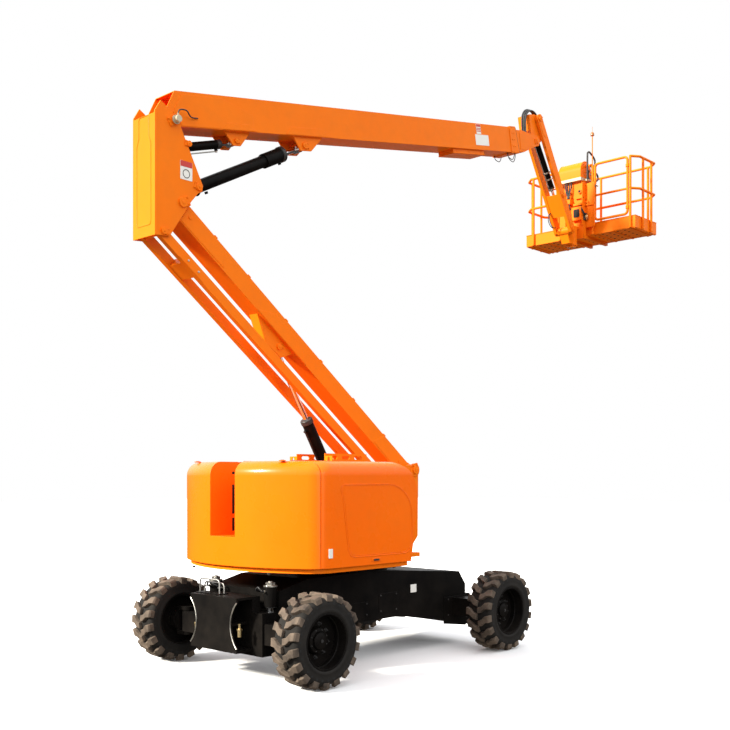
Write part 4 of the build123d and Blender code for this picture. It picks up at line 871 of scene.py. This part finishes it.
def link_details():
    """Stiffener plates where the link's cross ties meet its tubes."""
    plates, bolts = shapes(2)
    for along, side in product((0.38, LINK.length - 0.42), SIDES):
        plates.doubler(LINK, [(along - 0.17, -0.042), (along + 0.17, -0.042), (along + 0.12, 0.042),
                              (along - 0.12, 0.042)], 0.14, side)
        for off in (-0.07, 0.07):
            bolts.bolt(LINK.at(along + off, 0.0, side * 0.144), Y * side, 0.009)
    dress("tower_link", (plates, "link_plates", ORANGE, 0.0015), (bolts, "link_bolts", ZINC))


def upright_details():
    """Folded outline on the rear plate, and side labels."""
    x, z0, z1 = UPRIGHT_LOW.x, UPRIGHT_LOW.z + 0.1, UPRIGHT_HIGH.z - 0.12
    emboss, label, strip, ring = shapes(4)
    half = [(0.09, z0), (0.105, z0 + 0.02), (0.105, z1 - 0.25), (0.075, z1 - 0.18), (0.075, z1 - 0.02),
            (0.06, z1)]
    fold = half + [(-y, z) for y, z in reversed(half)]
    emboss.tube([(x, y, z) for y, z in fold[-2:] + fold[:-2]], 0.004, 8, closed=True)
    x += 0.33
    for side in SIDES:
        label.plate(0.13, 0.165, 0.006, wall(x, side * (UPRIGHT_Y - 0.001), LABEL_Z, side), 0.003, 3)
        strip.plate(0.126, 0.05, 0.005, wall(x, side * (UPRIGHT_Y - 0.0005), LABEL_Z + 0.057, side),
                    0.0035, 3)
        ring.tube([(x + a, side * (UPRIGHT_Y + 0.0022), LABEL_Z - 0.027 + b) for a, b in around(24, 0.036)],
                  0.0035, 6, closed=True)
    dress("upright", (emboss, "upright_rear_fold", ORANGE), (label, "upright_label", WHITE),
          (strip, "upright_label_strip", RED), (ring, "upright_label_ring", DARK, 0, None))


def barrel_fittings(cylinder, length, radius, ports, sign, pipe_finish):
    """Gland, weld ring and port blocks of a cylinder barrel; with a finish, its steel pipe too."""
    name, body, foot = f"{cylinder}_cylinder", f"{cylinder}_barrel", PIN[f"{cylinder}_barrel_tilt"]
    run = (EYE[cylinder] - foot).normalized()
    side = Vector((-run.z, 0, run.x)) * sign
    place, start = basis(foot, run), radius * 1.15
    gland, rings, pipe = shapes(3)
    gland.lathe([(radius * 0.5, length + 0.0005), (radius * 0.98, length + 0.0005),
                 (radius * 1.1, length - 0.006), (radius * 1.1, length - 0.045), (radius, length - 0.05)],
                place, 40)
    rings.lathe([(radius, start + 0.002), (radius + 0.006, start + 0.008), (radius, start + 0.02)], place, 40)
    for along in ports:
        at = foot + run * along + side * radius * 0.92
        rings.stack(at, side, (0, 0.022, 0.016, 20))
        pipe.stack(at, side, (0.018, 0.034, 0.012, 6))
    dress(body, (gland, f"{name}_gland", DARK, 0.001), (rings, f"{name}_rings", BLACK, 0.001))
    if pipe_finish:
        first, last = ports
        lift = side * (radius * 0.92 + 0.024)
        pipe.tube([foot + run * along + lift for along in (first, first + 0.02, last - 0.02, last)], 0.0065)
        dress(body, (pipe, f"{name}_pipe", pipe_finish, 0, None))


def boom_details():
    """Root doublers, end band with pad bolts and wiper, labels, wire loops and the hose tray's lip."""
    top, low, end = 0.262, -0.045, 5.38
    plates, bolts, labels, strips, seal, wires, lip = shapes(7)
    for side in SIDES:
        plates.doubler(BOOM, [(0.02, 0.075), (0.14, 0.235), (0.6, 0.235), (0.95, 0.11), (0.95, -0.038),
                              (0.1, -0.038)], BOOM_Y, side)
        plates.doubler(BOOM, [(1.36, -0.04), (1.44, 0.035), (1.86, 0.035), (2.02, -0.04)], BOOM_Y, side)
        plates.doubler(BOOM, [(0.56, -0.04), (0.62, 0.02), (0.88, 0.02), (0.98, -0.04)], BOOM_Y + 0.003, side)
        plates.doubler(BOOM, [(end - 0.13, low + 0.002), (end - 0.13, top - 0.002),
                              (end + 0.002, top - 0.002), (end + 0.038, low + 0.002)], BOOM_Y, side, 0.009)
        seal.doubler(BOOM, [(end + 0.004, top - 0.002), (end + 0.014, top - 0.002), (end + 0.05, low + 0.002),
                            (end + 0.04, low + 0.002)], BOOM_Y, side)
        for above, back in product((0.03, 0.11, 0.19), (0.085, 0.045)):
            bolts.bolt(BOOM.at(end - back, above, side * (BOOM_Y + 0.008)), Y * side, 0.008)
        for along, above, width, height in ((4.645, 0.07, 0.27, 0.125), (4.59, 0.195, 0.09, 0.115)):
            place = BOOM.plane(along, above, side * (BOOM_Y - 0.002), side)
            labels.plate(width, height, 0.005, place, 0.004, 3)
        for above, height in ((0.2365, 0.028), (0.205, 0.01), (0.188, 0.01), (0.171, 0.01)):
            place = BOOM.plane(4.59, above, side * (BOOM_Y - 0.001), side)
            strips.plate(0.086, height, 0.004, place, 0.0036, 3)
        lip.doubler(BOOM, [(4.08, -0.098), (4.08, -0.088), (4.7, -0.088), (4.7, -0.098)], TRAY_Y, side, 0.006)
        for along in (4.15, 4.39, 4.63):
            lip.bolt(BOOM.at(along, -0.072, side * TRAY_Y), Y * side, 0.008)
    for stop, heights in ((end + 0.002, (top, top + 0.009)), (end + 0.03, (low - 0.009, low))):
        plates.bar(BOOM, (end - 0.13, stop), heights, (-BOOM_Y - 0.009, BOOM_Y + 0.009))
    for start, span, sag, y in ((5.2, 0.16, 0.085, -0.11), (5.24, 0.17, 0.11, -0.09),
                                (5.22, 0.15, 0.07, 0.1)):
        sags = ((0, 0.005, 0), (0.1, -0.6 * sag, 0), (0.5, -sag, -0.01), (0.9, -0.5 * sag, 0), (1, 0.005, 0))
        wires.hose([BOOM.at(start + span * share, low + drop, y + drift) for share, drop, drift in sags],
                   0.0045, 8)
    dress("main_boom", (plates, "boom_doublers", ORANGE, 0.0015), (bolts, "boom_pad_bolts", ORANGE, 0.0008),
          (labels, "boom_blank_labels", WHITE), (seal, "boom_wiper", PAINTED_SHADE_AND_RUBBER),
          (strips, "boom_label_strips", RED), (wires, "boom_wire_loops", HOSE),
          (lip, "hose_tray_lip", ORANGE, 0.001))


def angle_sensor():
    """Sensor on the right end of the boom's pin, and its cable."""
    sensor, cable = shapes(2)
    at = PIN["boom_lift"] + Vector((0.005, -UPRIGHT_Y - 0.02 - PIN["boom_lift"].y, 0))
    sensor.stack(at, -Y, (0, 0.012, 0.04, 32), (0.012, 0.052, 0.03, 32))
    sensor.stack(at - Y * 0.03, Z, (0.028, 0.05, 0.009, 12))
    cable.hose(near(at, [(0, -0.03, 0.048), (0.02, -0.032, 0.085), (0.1, -0.02, 0.1), (0.17, 0.01, 0.07),
                         (0.26, 0.03, 0.085)]), 0.006)
    dress("upright", (sensor, "angle_sensor", GREY, 0.002), (cable, "angle_sensor_cable", HOSE))


def fly_details():
    """Side plates of the fly's nose, and the hoses over the jib's base."""
    hoses, plates = shapes(2)
    for side in SIDES:
        plates.doubler(BOOM, [(5.5, 0), (5.5, 0.215), (5.6, 0.215), (5.76, 0.185), (5.76, 0.06), (5.6, 0)],
                       0.12, side, 0.005)
    for k, y in enumerate((-0.078, -0.052, -0.026)):
        up = 0.012 * k
        hoses.hose([(3.318, y, 6.26), (3.306, y, 6.4 + up), (3.315, y, 6.5 + up), (3.372, y, 6.575 + up),
                    (3.46, y, 6.606 + up), (3.545, y, 6.585 + up), (3.59, y, 6.52), (3.6, y, 6.44)], 0.0115)
    dress("fly", (plates, "nose_doublers", ORANGE, 0.0015))
    dress("jib_base", (hoses, "jib_base_hoses", HOSE))


pin_heads()
tower_details()
link_details()
upright_details()
barrel_fittings("tower", 1.62, 0.058, (0.16, 1.52), 1, DARK)
barrel_fittings("lift", 1.3, 0.07, (0.2, 1.22), -1, None)
barrel_fittings("level", 0.5, 0.04, (0.09, 0.44), -1, ZINC)
barrel_fittings("jib", 0.73, 0.04, (0.1, 0.66), -1, ZINC)
boom_details()
angle_sensor()
fly_details()


# ---------------------------------------------------------------- jib and basket
BASKET_LOW, BASKET_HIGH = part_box("basket_floor")
BOX_LOW, BOX_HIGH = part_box("control_console")
POST_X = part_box("basket_support")[1].x
RAIL_LOW, RAIL_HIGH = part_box("basket_top_rail")
PLATE_Y = 0.14                             # half width of the basket's back plate


def jib_details():
    """Doublers, tie plate, hose run and clamps of the jib; bands round its cylinder's lower end."""
    outer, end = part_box("jib_boom")[1].y, JIB.length
    plates, clamps, hoses, bands = shapes(4)
    for side in SIDES:
        plates.doubler(JIB, [(-0.03, -0.03), (-0.03, 0.03), (0.2, 0.034), (0.26, 0), (0.2, -0.034)],
                       outer, side)
        plates.doubler(JIB, [(end - 0.24, 0.0), (end - 0.18, 0.034), (end + 0.03, 0.03), (end + 0.03, -0.03),
                             (end - 0.18, -0.034)], outer, side)
        plates.doubler(JIB, [(0.86, -0.04), (0.9, 0.04), (1.02, 0.04), (1.06, -0.04)], outer, side, 0.003)
    plates.bar(JIB, (1.0, 1.31), (-0.054, -0.046), (-0.125, 0.125))
    for along in (0.3, 0.62, 0.94, 1.22):
        clamps.bar(JIB, (along - 0.012, along + 0.012), (0.046, 0.076), (outer - 0.034, outer + 0.004))
    for k in range(2):
        hoses.tube([JIB.at(along, 0.06, outer - 0.022 + 0.017 * k) for along in (0.2, 0.5, 0.9, end - 0.14)],
                   0.008)
        sag = -0.125 - 0.012 * k
        loop = ((0.3, -0.04), (0.29, -0.085), (0.24, sag), (0.16, sag), (0.1, -0.085), (0.09, -0.04))
        hoses.hose([JIB.at(end - back, above, outer - 0.04 + 0.014 * k) for back, above in loop], 0.005, 8)
    foot = PIN["jib_barrel_tilt"]
    run = (EYE["jib"] - foot).normalized()
    for along in (0.47, 0.56, 0.7):
        bands.lathe([(0.0405, along), (0.047, along + 0.002), (0.047, along + 0.02), (0.0405, along + 0.022)],
                    basis(foot, run), 32)
        bands.box(*near(foot + run * (along + 0.011), [(-0.008, -0.06, -0.008), (0.008, -0.04, 0.008)]))
    dress("jib", (plates, "jib_doublers", ORANGE, 0.0012), (clamps, "jib_hose_clamps", ORANGE, 0.001),
          (hoses, "jib_hoses", HOSE))
    dress("jib_barrel", (bands, "jib_cylinder_bands", ZINC, 0.001))


def head_details():
    """Gear case under the basket's pivot and its bolts."""
    gear, bolts = shapes(2)
    x, low = PIN["basket_turn"].x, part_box("jib_head")[0].z
    gear.stack((x, 0, low), Z, (-0.022, 0.002, 0.058, 32))
    for a, b in around(6, 0.045):
        bolts.bolt((x + a, b, low - 0.022), -Z, 0.008)
    dress("jib_head", (gear, "turn_gear_case", ORANGE, 0.002), (bolts, "turn_gear_bolts", ZINC))


def turn_motor():
    """Motor that turns the basket, beside its back plate, with two short hoses."""
    motor, block, hoses = shapes(3)
    at = Vector((POST_X - 0.034, -PLATE_Y, BASKET_LOW.z + 0.24))
    motor.stack(at, -Y, (0.002, 0.042, 0.04, 32), (0.04, 0.056, 0.028, 32))
    block.box(*near(at, [(-0.046, -0.03, -0.04), (0.03, 0.001, 0.052)]))
    for rise in (0.035, 0.06):
        hoses.hose(near(at + Z * rise, [(-0.034, -0.016, -0.02), (-0.06, -0.018, 0), (-0.072, 0.005, 0.05),
                                        (-0.066, 0.035, 0.1), (-0.04, 0.05, 0.12)]), 0.007)
    dress("basket", (motor, "turn_motor", BRASS, 0.002), (block, "turn_motor_block", DARK, 0.003, None),
          (hoses, "turn_motor_hoses", HOSE))


def support_details():
    """Edges, wings, channel, valve block and cables of the basket's back plate, and near-black sheets as
    painted shade in its recesses.
    """
    base = Vector((POST_X - 0.0664, 0, BASKET_LOW.z))
    top = BOX_LOW.z - base.z
    plates, dark, valves, cables = shapes(4)
    for side in SIDES:
        # edge, rib, wing, the wing's channel and its flange
        for corners in (((-0.034, 0.128, 0.13), (0.002, 0.14, top - 0.03)),
                        ((-0.026, 0.028, 0.5), (0.002, 0.14, 0.515)),
                        ((0.045, 0.13, 0.1), (0.05, 0.29, top - 0.04)),
                        ((0.03, 0.13, 0.395), (0.046, 0.29, 0.425)),
                        ((0.03, 0.278, 0.1), (0.05, 0.29, top - 0.04))):
            plates.box(*near(base, corners, side))
        hub = base + Vector((0, side * 0.085, 0.6))
        plates.stack(hub, -X, (0.004, 0.022, 0.03))
        # Near-black disc: painted shade inside the hub.
        dark.stack(hub, -X, (0.02, 0.0235, 0.019))
    for corners in (((-0.06, -0.135, 0.4), (0.002, -0.01, 0.43)),
                    ((-0.048, -0.128, 0.2), (0.002, 0.02, 0.385))):
        plates.box(*near(base, corners))
    # Near-black plate and discs: painted shade in the back plate's recesses.
    dark.plate(0.095, 0.115, 0.02, basis(base + Vector((-0.0485, -0.054, 0.295)), -X), 0.0012)
    for y, z, radius in ((0.075, 0.3, 0.024), (0.075, 0.385, 0.018), (0.07, 0.21, 0.02)):
        dark.stack(base + Vector((0, y, z)), -X, (-0.001, 0.0015, radius))
    valves.box(*near(base, [(-0.075, 0.03, 0.44), (0.001, 0.112, 0.5)]))
    for k in range(3):
        y = 0.045 + 0.026 * k
        valves.stack(base + Vector((-0.045, y, 0.5)), Z, (0, 0.055, 0.011, 20), (0.055, 0.065, 0.008, 6))
        cables.hose(near(base, [(-0.062, y, 0.45), (-0.074, y, 0.38), (-0.08, y + 0.006, 0.31),
                                (-0.062, y + 0.012 - 0.02 * k, 0.24), (-0.027, y, 0.19)]), 0.0065)
    for y0, y1 in ((0.125, 0.078), (0.098, 0.07), (0.06, 0.062), (0.035, 0.055)):
        cables.hose(near(base, [(-0.03, y0, top + 0.004), (-0.04, y0, top - 0.07),
                                (-0.05, (y0 + y1) / 2, top - 0.15), (-0.052, y1, top - 0.215),
                                (-0.045, y1 - 0.01, 0.56)]), 0.0078)
    cables.stack(base + Vector((-0.052, 0.066, top)), Z, (-0.235, -0.205, 0.023, 16))
    dress("basket", (plates, "support_plates", ORANGE, 0.0015), (dark, "support_recesses", PAINTED_SHADE_AND_RUBBER),
          (valves, "support_valves", ORANGE, 0.0015), (cables, "support_cables", HOSE))


def console_cover():
    """Arched cover over the console, and the rims round its two ends."""
    shell, rims = shapes(2)
    middle, radius = (BOX_LOW.x + BOX_HIGH.x) / 2, 1.14 * (BOX_HIGH.x - BOX_LOW.x) / 2
    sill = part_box("console_cover")[1].z + 0.05 - radius
    drop = sill - BOX_LOW.z - 0.037
    arch = [(math.cos(math.radians(a)), math.sin(math.radians(a)) * radius) for a in range(0, 181, 9)]
    arch = [(1.0, -drop), *arch, (-1.0, -drop)]
    shell.prism([(px * radius, pz) for px, pz in arch], wall(middle, BOX_HIGH.y - 0.004, sill, -1),
                BOX_HIGH.y - BOX_LOW.y - 0.008)
    for y in (BOX_LOW.y + 0.008, BOX_HIGH.y + 0.002):
        rims.prism([(px * radius * 1.02, pz * 1.02) for px, pz in arch], wall(middle, y, sill, -1), 0.01)
    console_shell = shell.piece("basket", "console_shell", ORANGE)
    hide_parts("console_cover")
    dress("basket", (rims, "console_rims", ORANGE, 0.002))


def console_details():
    """Box lip, wire guard, joysticks, switches and stop button of the console."""
    lip, guard, dark, knobs, stop = shapes(5)
    x0, x1, y0, y1, low = BOX_LOW.x, BOX_HIGH.x, BOX_LOW.y, BOX_HIGH.y, BOX_LOW.z
    lip.box((x0 - 0.024, y0 - 0.006, low - 0.004), (x1 + 0.022, y1 + 0.006, low + 0.038))
    for k in range(5):
        dark.stack((x1, y0 + 0.055 + 0.052 * k, low + 0.018), X, (0.006, 0.014, 0.01), (0.012, 0.032, 0.0035))
    for y, hand in ((y0 - 0.034, -1), (y1 + 0.034, 1)):
        base = Vector((x0 + 0.13, y, low + 0.02))
        inner, outer = sorted((y, y - hand * 0.03))
        lip.box((x0 + 0.06, inner - 0.03, low - 0.004), (x1 - 0.04, outer + 0.03, low + 0.022))
        dark.rod(base, base + Z * 0.035, 0.024, 0.012)
        dark.rod(base + Z * 0.03, base + Vector((0.006, 0, 0.105)), 0.007)
        knobs.ball(base + Vector((0.006, 0, 0.12)), 0.017, 1.25)
    corner = (x0, y0 - 0.07, low)
    hoop = near(corner, [(0.045, 0, 0), (0.045, 0, 0.33), (0.06, 0, 0.375), (0.1, 0, 0.39), (0.2, 0, 0.345),
                         (0.235, 0, 0.315), (0.245, 0, 0.275), (0.245, 0, 0)])
    guard.tube(smooth(hoop, 5), 0.0125)
    guard.hose(near(corner, [(0.245, 0, 0.14), (0.285, -0.01, 0.12), (0.295, -0.02, 0.06),
                             (0.25, -0.012, 0.01)]), 0.012)
    foot = Vector((x1 - 0.02, y1 + 0.045, low))
    stop.stack(foot, Z, (0.02, 0.034, 0.014)).rod(foot + Z * 0.032, foot + Z * 0.048, 0.02, 0.017)
    dress("basket", (lip, "console_lip", GREY, 0.003), (guard, "console_guard", DARK, 0, None),
          (dark, "console_switches", DARK, 0.0008, None), (knobs, "console_joysticks", HOSE),
          (stop, "basket_stop_button", RED, 0.002))


def beacon():
    """Pole on the top rail with its clamps, lamp and aerial."""
    pole, lamp, clamps = shapes(3)
    at = Vector((RAIL_LOW.x + 0.054, -0.205, RAIL_HIGH.z))
    pole.stack(at, Z, (-0.16, 0.4, 0.007, 16), (0.445, 0.525, 0.0022, 8))
    for z in (-0.14, -0.03):
        clamps.box(*near(at, [(-0.03, -0.045, z - 0.012), (0.012, 0.014, z + 0.012)]))
    lamp.lathe([(0.01, -0.006), (0.026, 0.0), (0.026, 0.01), (0.024, 0.034), (0.015, 0.046), (0.004, 0.05)],
               Matrix.Translation(at + Z * 0.4), 32)
    dress("basket", (pole, "beacon_pole", ORANGE), (clamps, "beacon_clamps", DARK, 0.002, None),
          (lamp, "beacon_lamp", AMBER))


def basket_details():
    """Floor ribs below, lips on the toe board, near-black discs as painted shade in the floor's holes, and
    the gate's latch.
    """
    ribs, lips, holes, latch = shapes(4)
    (x0, y0, low), (x1, y1, top) = BASKET_LOW, BASKET_HIGH
    span = y1 - y0 - 0.16
    for k in (0, 1, 2, 4, 5, 6):           # the middle one would run into the support
        y = y0 + 0.08 + span * k / 6
        ribs.box((x0 + 0.012, y - 0.014, low - 0.009), (x1 - 0.012, y + 0.014, low + 0.001))
    for y in (y0 + 0.006, y1 - 0.028):
        ribs.box((x0 + 0.004, y, low - 0.009), (x1 - 0.004, y + 0.022, low + 0.001))
    loop = [(x0, y0, top), (x1, y0, top), (x1, y1, top), (x0, y1, top)]
    for a, b in zip(loop, loop[1:] + loop[:1]):
        lips.rod(a, b, 0.0055, segments=12)
    # Near-black discs on the floor's top and under faces: painted shade in its holes.
    for row, column in product(range(5), range(15)):
        holes.stack((x0 + 0.08 + 0.11 * row, y0 + 0.08 + span * column / 14, low), Z,
                    (0.0295, 0.0308, 0.016, 16), (-0.0008, 0.0005, 0.016, 16))
    gate_low, gate_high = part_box("basket_gate")
    at = Vector((gate_low.x, gate_high.y - 0.06, (gate_low.z + gate_high.z) / 2 + 0.08))
    latch.box(*near(at, [(-0.006, -0.015, -0.016), (0.004, 0.04, 0.016)]))
    latch.stack(at, -X, (0.006, 0.022, 0.006)).ball(at - X * 0.024, 0.01)
    dress("basket", (ribs, "basket_floor_ribs", ORANGE, 0.0015), (lips, "toe_board_lips", ORANGE),
          (holes, "basket_floor_holes", PAINTED_SHADE_AND_RUBBER))
    dress("gate", (latch, "gate_latch", ZINC, 0.001))


jib_details()
head_details()
turn_motor()
support_details()
console_cover()
console_details()
beacon()
basket_details()
